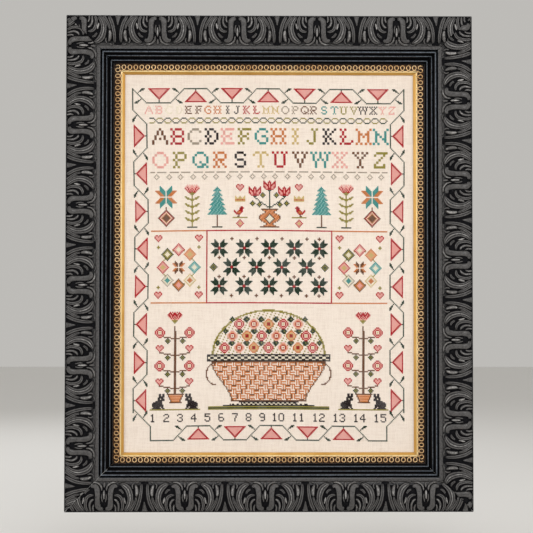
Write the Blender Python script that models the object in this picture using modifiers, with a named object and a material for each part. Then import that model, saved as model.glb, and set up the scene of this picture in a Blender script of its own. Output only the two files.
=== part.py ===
"""Framed cross stitch sampler: stretched linen in a mitred black moulding with a gilded slip.

Metres, +Z up. The front faces -Y and the flat back of the moulding lies in the plane Y = 0.
The origin is on that back face, at the middle of the top rail's width and length.
"""

import math

import bmesh
import bpy
from mathutils import Matrix, Vector

# Driving dimensions
FRAME_WIDTH = 0.438
FRAME_HEIGHT = 0.534
GAP = 0.0003

# Moulding: distances inwards from the outer edge, heights above the back
OUTER_WALL_HEIGHT = 0.0215
OUTER_ROUND = 0.0006
CARVED_START = 0.0012
CARVED_END = 0.0340
CREST_HEIGHT = 0.0300
CREST_LEAN = 0.8
CARVED_END_HEIGHT = 0.0240
RIDGE_CENTRE = 0.0395
RIDGE_RADIUS = 0.0013
RIDGE_HEIGHT = 0.0205
BEAD_CENTRE = 0.0478
BEAD_RADIUS = 0.0010
BEAD_HEIGHT = 0.0134
SIGHT_EDGE = 0.0508
SIGHT_EDGE_HEIGHT = 0.0122
REBATE_EDGE = 0.0440
REBATE_HEIGHT = 0.0103

BAND_POINTS = (
    # inwards, height: flat band inside the carving, then the floor of the groove
    (0.0366, 0.0236),
    (0.0370, 0.0200),
    (0.0379, 0.0198),
)
STEP_POINTS = (
    # inwards, height: foot of the ridge, narrow step, then the hollow down to the bead
    (0.0411, 0.0170),
    (0.0424, 0.0170),
    (0.0425, 0.0176),
    (0.0440, 0.0175),
    (0.0443, 0.0158),
    (0.0453, 0.0142),
    (0.0465, 0.0131),
)
LIP_POINTS = (
    # inwards, height: shallow quirk and flat lip at the sight edge
    (0.0491, 0.0124),
    (0.0498, 0.0124),
)

# Slip: distances inwards from the frame's outer edge, heights above the back
SLIP_START = REBATE_EDGE + GAP
SLIP_BEAD_CENTRE = 0.0596
SLIP_BEAD_RADIUS = 0.0010
SLIP_SIGHT = 0.0624
SLIP_BACK_HEIGHT = 0.0070
SLIP_FACE_HEIGHT = REBATE_HEIGHT - GAP
SLIP_TOE_HEIGHT = 0.0077

# Linen
LINEN_MARGIN = 0.0085
LINEN_THICKNESS = 0.0010
LINEN_BACK_HEIGHT = SLIP_BACK_HEIGHT - GAP - LINEN_THICKNESS
LINEN_SWELL = 0.0008
LINEN_EDGE_POWER = 4
LINEN_FACES_ACROSS = 22
LINEN_FACES_UP = 28
LINEN_WAVES = (
    # half waves across, half waves up, phase across, phase up, share of the swell
    (1.0, 1.0, 0.0, 0.0, 0.45),
    (2.0, 1.5, 0.7, 1.9, 0.30),
    (3.5, 2.5, 2.1, 0.4, 0.25),
)

# Board
BOARD_THICKNESS = 0.0030
BOARD_EDGE_ROUND = 0.0003

HUMP_STEPS = 14
ROUND_STEPS = 6
WELD_DISTANCE = 0.00001
SMOOTH_ANGLE = math.radians(35)

FRAME_MIDDLE_Z = REBATE_EDGE / 2 - FRAME_HEIGHT / 2

# Finishes: name, colour, roughness, metallic
EBONISED_WOOD = ("ebonised_wood", (0.020, 0.019, 0.018), 0.45, 0.0)
GILDING = ("gilding", (0.62, 0.36, 0.09), 0.32, 1.0)
LINEN_CLOTH = ("linen_cloth", (0.86, 0.77, 0.66), 0.90, 0.0)
BACKING_BOARD = ("backing_board", (0.42, 0.31, 0.20), 0.85, 0.0)


def clear_scene():
    """Remove the objects that the scene starts with."""
    for item in list(bpy.data.objects):
        bpy.data.objects.remove(item, do_unlink=True)


def new_collection(name):
    """Return a new collection linked to the scene."""
    collection = bpy.data.collections.new(name)
    bpy.context.scene.collection.children.link(collection)
    return collection


def principled(finish):
    """Return a Principled material made from one of the finishes above."""
    name, colour, roughness, metallic = finish
    material = bpy.data.materials.new(name)
    material.use_nodes = True
    shader = material.node_tree.nodes["Principled BSDF"]
    shader.inputs["Base Color"].default_value = (*colour, 1.0)
    shader.inputs["Roughness"].default_value = roughness
    shader.inputs["Metallic"].default_value = metallic
    return material


def half_round(centre, height, radius):
    """Points over a half-round bead, from its outer foot to its inner foot."""
    angles = [math.pi * (1 - step / ROUND_STEPS) for step in range(ROUND_STEPS + 1)]
    return [(centre + radius * math.cos(angle), height + radius * math.sin(angle)) for angle in angles]


def carved_hump():
    """Smooth crown that carries the carving: steep at the outer edge, with a long slope inwards."""
    points = []
    for step in range(HUMP_STEPS + 1):
        share = (1 - math.cos(math.pi * step / HUMP_STEPS)) / 2
        chord = OUTER_WALL_HEIGHT + (CARVED_END_HEIGHT - OUTER_WALL_HEIGHT) * share
        crown = CREST_HEIGHT - (OUTER_WALL_HEIGHT + CARVED_END_HEIGHT) / 2
        bulge = crown * max(0.0, math.sin(math.pi * share ** CREST_LEAN))
        points.append((CARVED_START + (CARVED_END - CARVED_START) * share, chord + bulge))
    return points


def moulding_profile():
    """Cross-section of a rail as (inwards from the outer edge, height above the back)."""
    return [
        (0.0, 0.0),
        (0.0, OUTER_WALL_HEIGHT - OUTER_ROUND),
        *carved_hump(),
        *BAND_POINTS,
        *half_round(RIDGE_CENTRE, RIDGE_HEIGHT, RIDGE_RADIUS),
        *STEP_POINTS,
        *half_round(BEAD_CENTRE, BEAD_HEIGHT, BEAD_RADIUS),
        *LIP_POINTS,
        (SIGHT_EDGE, SIGHT_EDGE_HEIGHT),
        (SIGHT_EDGE, REBATE_HEIGHT),
        (REBATE_EDGE, REBATE_HEIGHT),
        (REBATE_EDGE, 0.0),
    ]


def slip_profile():
    """Cross-section of a gilded slip: flat, small bead, then a slope down to the cloth."""
    return [
        (SLIP_START, SLIP_BACK_HEIGHT),
        (SLIP_START, SLIP_FACE_HEIGHT),
        *half_round(SLIP_BEAD_CENTRE, SLIP_FACE_HEIGHT, SLIP_BEAD_RADIUS),
        (SLIP_SIGHT, SLIP_TOE_HEIGHT),
        (SLIP_SIGHT, SLIP_BACK_HEIGHT),
    ]


def extruded_bar(name, profile, length):
    """Mesh of a straight bar: X along its length, Z from its inner to its outer edge, front to -Y."""
    outline = bpy.data.curves.new(name, "CURVE")
    outline.dimensions = "2D"
    outline.fill_mode = "BOTH"
    outline.extrude = length / 2
    spline = outline.splines.new("POLY")
    spline.points.add(len(profile) - 1)
    for point, (inwards, height) in zip(spline.points, profile):
        point.co = (inwards, height, 0.0, 1.0)
    spline.use_cyclic_u = True
    holder = bpy.data.objects.new(name, outline)
    bpy.context.scene.collection.objects.link(holder)
    evaluated = holder.evaluated_get(bpy.context.evaluated_depsgraph_get())
    mesh = bpy.data.meshes.new_from_object(evaluated)
    bpy.data.objects.remove(holder, do_unlink=True)
    bpy.data.curves.remove(outline)
    mesh.transform(Matrix(((0, 0, -1, 0), (0, -1, 0, 0), (-1, 0, 0, 0), (0, 0, 0, 1))))
    return mesh


def cut_mitres(mesh, length):
    """Cut both ends of a bar at 45 degrees, each half a gap short of the corner's diagonal."""
    model = bmesh.new()
    model.from_mesh(mesh)
    bmesh.ops.remove_doubles(model, verts=model.verts, dist=WELD_DISTANCE)
    for side in (-1, 1):
        outward = Vector((side, 0.0, -1.0)).normalized()
        corner = Vector((side * length / 2, 0.0, 0.0))
        cut = bmesh.ops.bisect_plane(
            model,
            geom=model.verts[:] + model.edges[:] + model.faces[:],
            dist=WELD_DISTANCE,
            plane_co=corner - outward * GAP / 2,
            plane_no=outward,
            clear_outer=True,
        )
        rim = [item for item in cut["geom_cut"] if isinstance(item, bmesh.types.BMEdge)]
        bmesh.ops.contextual_create(model, geom=rim)
    bmesh.ops.recalc_face_normals(model, faces=model.faces[:])
    model.to_mesh(mesh)
    model.free()


def add_object(name, mesh, material, collection, parent):
    """Link a mesh as a named object with its material and parent, and return it."""
    mesh.name = name
    mesh.materials.clear()
    mesh.materials.append(material)
    item = bpy.data.objects.new(name, mesh)
    item.parent = parent
    collection.objects.link(item)
    return item


def mitred_surround(prefix, profile, material, collection, frame_centre):
    """Make four mitred bars, each placed and turned around the frame's middle."""
    sides = (
        # name, length, distance from the middle to the outer edge, turn about Y
        ("top", FRAME_WIDTH, FRAME_HEIGHT / 2, 0.0),
        ("right", FRAME_HEIGHT, FRAME_WIDTH / 2, math.pi / 2),
        ("bottom", FRAME_WIDTH, FRAME_HEIGHT / 2, math.pi),
        ("left", FRAME_HEIGHT, FRAME_WIDTH / 2, -math.pi / 2),
    )
    for side, length, reach, turn in sides:
        mesh = extruded_bar(prefix + side, profile, length)
        cut_mitres(mesh, length)
        mesh.shade_smooth()
        mesh.set_sharp_from_angle(angle=SMOOTH_ANGLE)
        bar = add_object(prefix + side, mesh, material, collection, frame_centre)
        bar.rotation_euler = (0.0, turn, 0.0)
        bar.location = (math.sin(turn) * reach, 0.0, math.cos(turn) * reach)


def linen_lift(across, upward):
    """Share of the swell, for a place given as -1 to 1 each way, fading to nothing at the edges."""
    lift = 0.0
    for waves_x, waves_z, phase_x, phase_z, share in LINEN_WAVES:
        wave_x = math.cos(math.pi / 2 * waves_x * across + phase_x)
        wave_z = math.cos(math.pi / 2 * waves_z * upward + phase_z)
        lift += share * (1 + wave_x * wave_z) / 2
    return lift * (1 - across ** LINEN_EDGE_POWER) * (1 - upward ** LINEN_EDGE_POWER)


def build_linen(material, collection, frame_centre):
    """Stretched sheet of linen, flat at its edges and gently uneven inside the opening."""
    half_width = FRAME_WIDTH / 2 - SLIP_START - LINEN_MARGIN
    half_height = FRAME_HEIGHT / 2 - SLIP_START - LINEN_MARGIN
    model = bmesh.new()
    bmesh.ops.create_grid(model, x_segments=LINEN_FACES_ACROSS, y_segments=LINEN_FACES_UP, size=1.0)
    for vert in model.verts:
        across, upward = vert.co.xy
        height = LINEN_BACK_HEIGHT + LINEN_SWELL * linen_lift(across, upward)
        vert.co = Vector((across * half_width, -height, upward * half_height))
    mesh = bpy.data.meshes.new("linen")
    model.to_mesh(mesh)
    model.free()
    mesh.shade_smooth()
    sheet = add_object("linen", mesh, material, collection, frame_centre)
    thickness = sheet.modifiers.new("thickness", "SOLIDIFY")
    thickness.thickness = LINEN_THICKNESS
    thickness.offset = 1.0


def build_board(material, collection, frame_centre):
    """Plain board behind the linen, filling the rebate."""
    width = FRAME_WIDTH - 2 * SLIP_START
    height = FRAME_HEIGHT - 2 * SLIP_START
    model = bmesh.new()
    bmesh.ops.create_cube(model, size=1.0)
    bmesh.ops.scale(model, vec=(width, BOARD_THICKNESS, height), verts=model.verts)
    mesh = bpy.data.meshes.new("mount_board")
    model.to_mesh(mesh)
    model.free()
    board = add_object("mount_board", mesh, material, collection, frame_centre)
    board.location = (0.0, -(LINEN_BACK_HEIGHT - GAP - BOARD_THICKNESS / 2), 0.0)
    edge = board.modifiers.new("edge", "BEVEL")
    edge.width = BOARD_EDGE_ROUND
    edge.segments = 1


def main():
    """Build the sampler in its frame."""
    clear_scene()
    collection = new_collection("framed_sampler")
    frame_centre = bpy.data.objects.new("frame_centre", None)
    frame_centre.location = (0.0, 0.0, FRAME_MIDDLE_Z)
    collection.objects.link(frame_centre)
    mitred_surround("rail_", moulding_profile(), principled(EBONISED_WOOD), collection, frame_centre)
    mitred_surround("fillet_", slip_profile(), principled(GILDING), collection, frame_centre)
    build_linen(principled(LINEN_CLOTH), collection, frame_centre)
    build_board(principled(BACKING_BOARD), collection, frame_centre)


main()
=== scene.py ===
"""Looks of a framed cross stitch sampler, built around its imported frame.

Metres, +Z up. The front faces -Y and the back of the moulding lies in the plane Y = 0.
A rail is worked in its own terms: along it, inwards from its outer edge, and height above its back.
A stitch is worked in columns from the left and rows from the top of the design.
"""

import logging
import math
from dataclasses import dataclass, field
from enum import Enum
from typing import Callable, Iterable, Sequence

import bmesh
import bpy
from mathutils import Matrix, Vector


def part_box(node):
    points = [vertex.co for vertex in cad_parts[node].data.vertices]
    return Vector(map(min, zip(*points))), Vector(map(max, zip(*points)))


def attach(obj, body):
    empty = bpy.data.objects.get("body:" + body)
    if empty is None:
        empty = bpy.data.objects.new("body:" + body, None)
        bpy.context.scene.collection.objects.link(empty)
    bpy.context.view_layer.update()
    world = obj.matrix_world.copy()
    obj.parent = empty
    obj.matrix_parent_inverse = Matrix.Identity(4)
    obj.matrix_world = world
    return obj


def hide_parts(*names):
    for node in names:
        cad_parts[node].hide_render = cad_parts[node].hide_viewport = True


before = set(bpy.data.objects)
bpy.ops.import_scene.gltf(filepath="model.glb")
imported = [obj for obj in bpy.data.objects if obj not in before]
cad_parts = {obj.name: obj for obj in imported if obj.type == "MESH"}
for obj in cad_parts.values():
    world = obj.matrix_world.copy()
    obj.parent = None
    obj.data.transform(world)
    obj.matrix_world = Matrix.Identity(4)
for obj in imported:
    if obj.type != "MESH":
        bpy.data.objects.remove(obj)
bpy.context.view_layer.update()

BODY = "root"
MM = 0.001
WELD_DISTANCE = 0.000001
SMOOTH_ANGLE = math.radians(38)

log = logging.getLogger("sampler")

Colour = tuple[float, float, float]
Point = tuple[float, float]
Place = tuple[float, float, float]
Triples = tuple[Place, ...]
Range = tuple[float, ...]
Socket = bpy.types.NodeSocket
Value = float | Socket


def srgb(red: int, green: int, blue: int) -> Colour:
    """Return a colour given in 0 to 255 as the linear values that a shader takes."""
    shares = (red / 255, green / 255, blue / 255)
    return tuple(s / 12.92 if s <= 0.04045 else ((s + 0.055) / 1.055) ** 2.4 for s in shares)


def smooth_step(value: float) -> float:
    """Return 0 to 1 for a value of 0 to 1, eased at both ends."""
    share = min(max(value, 0.0), 1.0)
    return share * share * (3 - 2 * share)


def on_ellipse(centre: Point, across: float, up: float, share: float) -> Point:
    """Return the column and row at a share of the way round an ellipse, from its top."""
    angle = math.tau * share
    return centre[0] + across * math.sin(angle), centre[1] - up * math.cos(angle)


def catmull_rom(points: Sequence[Sequence[float]], share: float) -> list[float]:
    """Read a smooth curve through some points.

    Args:
        points: points of any number of values, at even steps along the curve.
        share: place along the curve, 0 at the first point and 1 at the last.

    Returns:
        The curve's values there.
    """
    spans = len(points) - 1
    place = min(max(share, 0.0), 1.0) * spans
    index = min(int(place), spans - 1)
    t = place - index
    before = points[max(index - 1, 0)]
    first = points[index]
    second = points[index + 1]
    after = points[min(index + 2, spans)]
    return [
        0.5 * (2 * b + (c - a) * t + (2 * a - 5 * b + 4 * c - d) * t * t + (3 * b - a - 3 * c + d) * t ** 3)
        for a, b, c, d in zip(before, first, second, after)
    ]


class NodeBuilder:
    """A node tree under construction."""

    def __init__(self, tree: bpy.types.NodeTree) -> None:
        """Work on a tree."""
        self.tree = tree

    def add(self, kind: str, settings: dict | None = None, inputs: dict | None = None) -> bpy.types.Node:
        """Add a node.

        Args:
            kind: the node's type.
            settings: its own properties.
            inputs: what its sockets take, each a value or a socket to link.

        Returns:
            The new node.
        """
        node = self.tree.nodes.new(kind)
        for name, value in (settings or {}).items():
            setattr(node, name, value)
        for name, value in (inputs or {}).items():
            if isinstance(value, Socket):
                self.tree.links.new(value, node.inputs[name])
            else:
                node.inputs[name].default_value = value
        return node

    def math(self, operation: str, *values: Value) -> Socket:
        """Return the result of a Math node."""
        return self.add("ShaderNodeMath", {"operation": operation}, dict(enumerate(values))).outputs["Value"]


class ShaderBuilder(NodeBuilder):
    """A material under construction: its node tree and its Principled shader."""

    def __init__(self, name: str, roughness: float, metallic: float = 0.0, specular: float = 0.5) -> None:
        """Start a material with its constant values set on the shader."""
        self.material = bpy.data.materials.new(name)
        self.material.use_nodes = True
        super().__init__(self.material.node_tree)
        self.shader = self.tree.nodes["Principled BSDF"]
        constants = {"Roughness": roughness, "Metallic": metallic, "Specular IOR Level": specular}
        for socket, value in constants.items():
            self.shader.inputs[socket].default_value = value
        self.coordinates = self.tree.nodes.new("ShaderNodeTexCoord").outputs["Object"]

    def noise(self, scale: float, detail: float, roughness: float = 0.5,
              vector: Socket | None = None) -> Socket:
        """Return noise of 0 to 1, with its scale in features a metre unless a vector is given."""
        inputs = {"Scale": scale, "Detail": detail, "Roughness": roughness}
        inputs["Vector"] = vector or self.coordinates
        return self.add("ShaderNodeTexNoise", inputs=inputs).outputs["Fac"]

    def streaks(self, scale: Sequence[float], detail: float) -> Socket:
        """Return noise with its own number of features a metre along each axis."""
        inputs = {"Vector": self.coordinates, "Scale": scale}
        return self.noise(1.0, detail, vector=self.add("ShaderNodeMapping", inputs=inputs).outputs["Vector"])

    def crossed(self, scale: Place, detail: float) -> Socket:
        """Return the mean of noise streaked one way and the same noise streaked the other way."""
        both = self.math("ADD", self.streaks(scale, detail), self.streaks(scale[::-1], detail))
        return self.math("MULTIPLY", both, 0.5)

    def limits(self, value: Socket, low: float, high: float,
               to_low: float = 0.0, to_high: float = 1.0) -> Socket:
        """Return a value mapped smoothly from one range to another."""
        inputs = {"Value": value, "From Min": low, "From Max": high, "To Min": to_low, "To Max": to_high}
        settings = {"interpolation_type": "SMOOTHSTEP"}
        return self.add("ShaderNodeMapRange", settings, inputs).outputs["Result"]

    def mix(self, share: Socket, first: Colour | Socket, second: Colour | Socket) -> Socket:
        """Blend one colour into another.

        Args:
            share: how far, from 0 to 1.
            first: colour at 0.
            second: colour at 1.

        Returns:
            The blended colour.
        """
        node = self.add("ShaderNodeMix", {"data_type": "RGBA"})
        self.tree.links.new(share, node.inputs[0])
        for socket, value in ((node.inputs[6], first), (node.inputs[7], second)):
            if isinstance(value, Socket):
                self.tree.links.new(value, socket)
            else:
                socket.default_value = (*value, 1.0)
        return node.outputs[2]

    def attribute(self, name: str) -> Socket:
        """Return a named value that the mesh carries."""
        return self.add("ShaderNodeAttribute", {"attribute_name": name}).outputs["Fac"]

    def link(self, socket: Socket, name: str) -> None:
        """Link a result to the shader's socket of this name."""
        self.tree.links.new(socket, self.shader.inputs[name])

    def bump(self, *layers: tuple[Socket, float]) -> None:
        """Link bump to the shader.

        Args:
            layers: heights of 0 to 1, each with its depth in metres.
        """
        normal = None
        for height, depth in layers:
            node = self.add("ShaderNodeBump", inputs={"Height": height, "Distance": depth, "Strength": 1.0})
            if normal is not None:
                self.tree.links.new(normal, node.inputs["Normal"])
            normal = node.outputs["Normal"]
        self.link(normal, "Normal")

    def grain(self, layers: Triples) -> None:
        """Link bump of noise, each layer given by its features a metre, detail and depth in metres."""
        self.bump(*((self.noise(scale, detail), depth) for scale, detail, depth in layers))


# In the finishes below, a noise is given by its features a metre, its detail and at times its roughness.
# A range is given by the values that it runs between, and then by what these become where that isn't 0 to 1.


@dataclass(frozen=True)
class EbonisedWood:
    """Black paint over moulded ornament, worn warm grey on its high parts, with painted shade in its low
    parts and painted highlights on its crests.
    """

    name: str = "ebonised_carving"
    painted_shade: Colour = srgb(4, 4, 7)
    paint: Colour = srgb(17, 18, 22)
    worn_and_lit: Colour = srgb(85, 83, 82)
    painted_highlight: Colour = srgb(170, 168, 166)
    specular: float = 0.3
    gloss: float = 0.24
    matt: float = 0.46
    patches: Range = (70.0, 4.0)
    patch_share: float = 0.5
    grime: Range = (420.0, 5.0, 0.65)
    grime_share: float = 0.7
    shade_to_paint_range: Range = (0.05, 0.5)
    worn_and_lit_range: Range = (0.30, 0.85)
    highlight_range: Range = (1.16, 1.50, 0.0, 0.85)
    matt_range: Range = (0.3, 0.75)
    grain: Triples = ((900.0, 4.0, 0.00010), (160.0, 3.0, 0.00018))

    def material(self) -> bpy.types.Material:
        """Return the material, which reads the mesh's attribute of wear and painted light."""
        build = ShaderBuilder(self.name, self.gloss, specular=self.specular)
        wear_and_painted_light = build.attribute("wear_and_painted_light")
        grime = build.noise(*self.grime)
        uneven = build.math("MULTIPLY", build.math("SUBTRACT", grime, 0.5), self.grime_share)
        wear_and_light = build.math("ADD", wear_and_painted_light, uneven)
        glint_level = build.math("ADD", wear_and_light, build.math("MULTIPLY", build.noise(*self.patches), self.patch_share))
        # Painted shade: the black is deepened where the wear and painted light is low.
        black = build.mix(build.limits(wear_and_painted_light, *self.shade_to_paint_range), self.painted_shade, self.paint)
        # Worn warm grey on the high parts, which also stands for the light they catch; on the plain moulding
        # it is painted highlight.
        rubbed = build.mix(build.limits(wear_and_light, *self.worn_and_lit_range), black, self.worn_and_lit)
        # Painted highlights: pale specks on the highest crests.
        build.link(build.mix(build.limits(glint_level, *self.highlight_range), rubbed, self.painted_highlight), "Base Color")
        build.link(build.limits(grime, *self.matt_range, self.gloss, self.matt), "Roughness")
        build.grain(self.grain)
        return build.material


@dataclass(frozen=True)
class RecessBlack:
    """Dull black in the grooves and between the ornament: painted shade, darker than the paint, with a little
    dust.
    """

    name: str = "ebonised_recess"
    black: Colour = srgb(4, 4, 6)
    dust: Colour = srgb(16, 15, 15)
    matt: float = 0.75
    specular: float = 0.06
    specks: Range = (500.0, 4.0)
    dust_range: Range = (0.5, 0.85)
    grain: Triples = ((900.0, 4.0, 0.00010),)

    def material(self) -> bpy.types.Material:
        """Return the material."""
        build = ShaderBuilder(self.name, self.matt, specular=self.specular)
        dust = build.limits(build.noise(*self.specks), *self.dust_range)
        build.link(build.mix(dust, self.black, self.dust), "Base Color")
        build.grain(self.grain)
        return build.material


@dataclass(frozen=True)
class BlackLacquer:
    """Smooth black ground under the gilded loops, brown where dust lies."""

    name: str = "slip_black"
    black: Colour = srgb(10, 9, 10)
    brown: Colour = srgb(104, 68, 38)
    gloss: float = 0.40
    matt: float = 0.55
    specular: float = 0.15
    dust: Range = (600.0, 4.0)
    brown_range: Range = (0.4, 0.7)
    matt_range: Range = (0.3, 0.8)
    grain: Triples = ((1500.0, 3.0, 0.00005),)

    def material(self) -> bpy.types.Material:
        """Return the material."""
        build = ShaderBuilder(self.name, self.gloss, specular=self.specular)
        dust = build.noise(*self.dust)
        build.link(build.mix(build.limits(dust, *self.brown_range), self.black, self.brown), "Base Color")
        build.link(build.limits(dust, *self.matt_range, self.gloss, self.matt), "Roughness")
        build.grain(self.grain)
        return build.material


@dataclass(frozen=True)
class Gilding:
    """Gilt on the slip, rubbed and a little uneven in tone, with a painted highlight along the bead's top."""

    name: str = "gilding"
    highlight_gold: Colour = (0.96, 0.82, 0.44)
    light: Colour = (0.60, 0.34, 0.09)
    deep: Colour = (0.50, 0.26, 0.05)
    rubbed: Colour = (0.30, 0.13, 0.05)
    gloss: float = 0.36
    duller: float = 0.14
    metal: float = 0.6
    tone: Range = (55.0, 4.0)
    specks: Range = (1300.0, 3.0, 0.7)
    light_range: Range = (0.25, 0.8)
    highlight_gold_range: Range = (0.4, 0.9)
    rubbed_range: Range = (0.66, 0.85, 0.0, 0.6)
    dull_range: Range = (0.2, 0.8)
    grain: Triples = ((2200.0, 3.0, 0.00003), (240.0, 2.0, 0.00008))

    def material(self) -> bpy.types.Material:
        """Return the material, with a painted highlight where the mesh's wear and painted light is high."""
        build = ShaderBuilder(self.name, self.gloss, metallic=self.metal)
        specks = build.noise(*self.specks)
        gilt = build.mix(build.limits(build.noise(*self.tone), *self.light_range), self.deep, self.light)
        # Painted highlight: pale gold along the top of the bead.
        gold = build.mix(build.limits(build.attribute("wear_and_painted_light"), *self.highlight_gold_range), gilt, self.highlight_gold)
        build.link(build.mix(build.limits(specks, *self.rubbed_range), gold, self.rubbed), "Base Color")
        build.link(build.limits(specks, *self.dull_range, self.gloss, self.gloss + self.duller), "Roughness")
        build.grain(self.grain)
        return build.material


@dataclass(frozen=True)
class LinenCloth:
    """Pale evenweave linen with slubs, gaps between its threads and faint uneven tone."""

    name: str = "linen_cloth"
    thread: Colour = srgb(248, 235, 222)
    shade: Colour = srgb(237, 222, 208)
    gap: Colour = srgb(196, 176, 152)
    matt: float = 0.92
    specular: float = 0.2
    thread_pitch: float = 0.00062
    bands_a_unit: float = 0.05
    wander: float = 0.9
    wander_detail: float = 1.5
    wander_scale: float = 0.6
    slubs: Place = (90.0, 60.0, 900.0)
    slub_detail: float = 2.0
    mottling: Range = (26.0, 3.0)
    thread_range: Range = (0.30, 0.60)
    mottled_range: Range = (0.35, 0.7, 0.0, 0.28)
    gap_range: Range = (0.35, 0.95, 0.0, 0.55)
    weave_depth: float = 0.00012
    slub_depth: float = 0.00010

    def weave(self, build: ShaderBuilder, direction: str) -> Socket:
        """Lay threads side by side, wavering a little.

        Args:
            build: the material.
            direction: axis that the threads cross.

        Returns:
            Their height, from 0 to 1.
        """
        inputs = {"Vector": build.coordinates, "Scale": self.bands_a_unit / self.thread_pitch * math.tau,
                  "Distortion": self.wander, "Detail": self.wander_detail, "Detail Scale": self.wander_scale}
        settings = {"wave_type": "BANDS", "bands_direction": direction, "wave_profile": "SIN"}
        return build.add("ShaderNodeTexWave", settings, inputs).outputs["Fac"]

    def material(self) -> bpy.types.Material:
        """Return the material."""
        build = ShaderBuilder(self.name, self.matt, specular=self.specular)
        across, up = self.weave(build, "X"), self.weave(build, "Z")
        holes = build.math("MULTIPLY", build.math("SUBTRACT", 1.0, across), build.math("SUBTRACT", 1.0, up))
        tone = build.crossed(self.slubs, self.slub_detail)
        base = build.mix(build.limits(tone, *self.thread_range), self.shade, self.thread)
        mottled = build.limits(build.noise(*self.mottling), *self.mottled_range)
        soft = build.mix(mottled, base, self.shade)
        build.link(build.mix(build.limits(holes, *self.gap_range), soft, self.gap), "Base Color")
        build.bump((build.math("MAXIMUM", across, up), self.weave_depth), (tone, self.slub_depth))
        return build.material


@dataclass(frozen=True)
class Floss:
    """Stranded cotton of one colour, a little uneven along its length."""

    name: str
    colour: Colour
    pale_level: float = 0.84
    fading: float = 0.08
    darker: float = 0.55
    matt: float = 0.62
    specular: float = 0.25
    skein: Range = (95.0, 2.0)
    strands: Range = (2600.0, 2.0)
    pale_range: Range = (0.35, 0.72)
    dark_range: Range = (0.52, 0.8, 0.0, 0.55)
    strand_depth: float = 0.00006

    def material(self) -> bpy.types.Material:
        """Return the material."""
        build = ShaderBuilder(self.name, self.matt, specular=self.specular)
        dark = tuple(value * self.darker for value in self.colour)
        pale = tuple(value + (self.pale_level - value) * self.fading for value in self.colour)
        strands = build.noise(*self.strands)
        tone = build.mix(build.limits(build.noise(*self.skein), *self.pale_range), self.colour, pale)
        build.link(build.mix(build.limits(strands, *self.dark_range), tone, dark), "Base Color")
        build.bump((strands, self.strand_depth))
        return build.material


@dataclass(frozen=True)
class HardBoard:
    """Brown board behind the cloth, with pressed fibres."""

    name: str = "backing_board"
    fibre: Colour = srgb(176, 146, 110)
    dark: Colour = srgb(126, 98, 68)
    stain: Colour = srgb(104, 82, 60)
    matt: float = 0.86
    fibres: Place = (900.0, 300.0, 140.0)
    fibre_detail: float = 4.0
    stains: Range = (14.0, 3.0)
    fibre_range: Range = (0.36, 0.66)
    stain_range: Range = (0.52, 0.8, 0.0, 0.5)
    fibre_depth: float = 0.00015

    def material(self) -> bpy.types.Material:
        """Return the material."""
        build = ShaderBuilder(self.name, self.matt)
        tone = build.crossed(self.fibres, self.fibre_detail)
        board = build.mix(build.limits(tone, *self.fibre_range), self.dark, self.fibre)
        stains = build.limits(build.noise(*self.stains), *self.stain_range)
        build.link(build.mix(stains, board, self.stain), "Base Color")
        build.bump((tone, self.fibre_depth))
        return build.material


class Thread(Enum):
    """Threads of the sampler, by the letter that charts use and their colour."""

    RED = ("r", "red", srgb(192, 14, 32))
    PINK = ("p", "pink", srgb(246, 184, 174))
    GREEN = ("g", "dark_green", srgb(34, 58, 40))
    VINE = ("v", "grey_green", srgb(72, 86, 72))
    OLIVE = ("o", "olive", srgb(162, 150, 66))
    TEAL = ("t", "teal", srgb(74, 160, 154))
    RUST = ("c", "terracotta", srgb(218, 136, 76))
    BROWN = ("b", "brown", srgb(122, 80, 52))
    DARK = ("k", "brown_black", srgb(42, 30, 30))
    GREY = ("e", "grey_beige", srgb(176, 162, 144))
    GOLD = ("y", "pale_gold", srgb(222, 196, 132))
    PEACH = ("a", "peach", srgb(240, 178, 134))
    SKY = ("l", "pale_teal", srgb(150, 200, 196))
    CREAM = ("w", "cream", srgb(250, 240, 218))

    @property
    def code(self) -> str:
        """Letter of this thread in the charts."""
        return self.value[0]

    @property
    def label(self) -> str:
        """Plain name of this thread."""
        return self.value[1]

    @property
    def colour(self) -> Colour:
        """Colour of this thread, as linear values."""
        return self.value[2]


THREADS = {thread.code: thread for thread in Thread}
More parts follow.
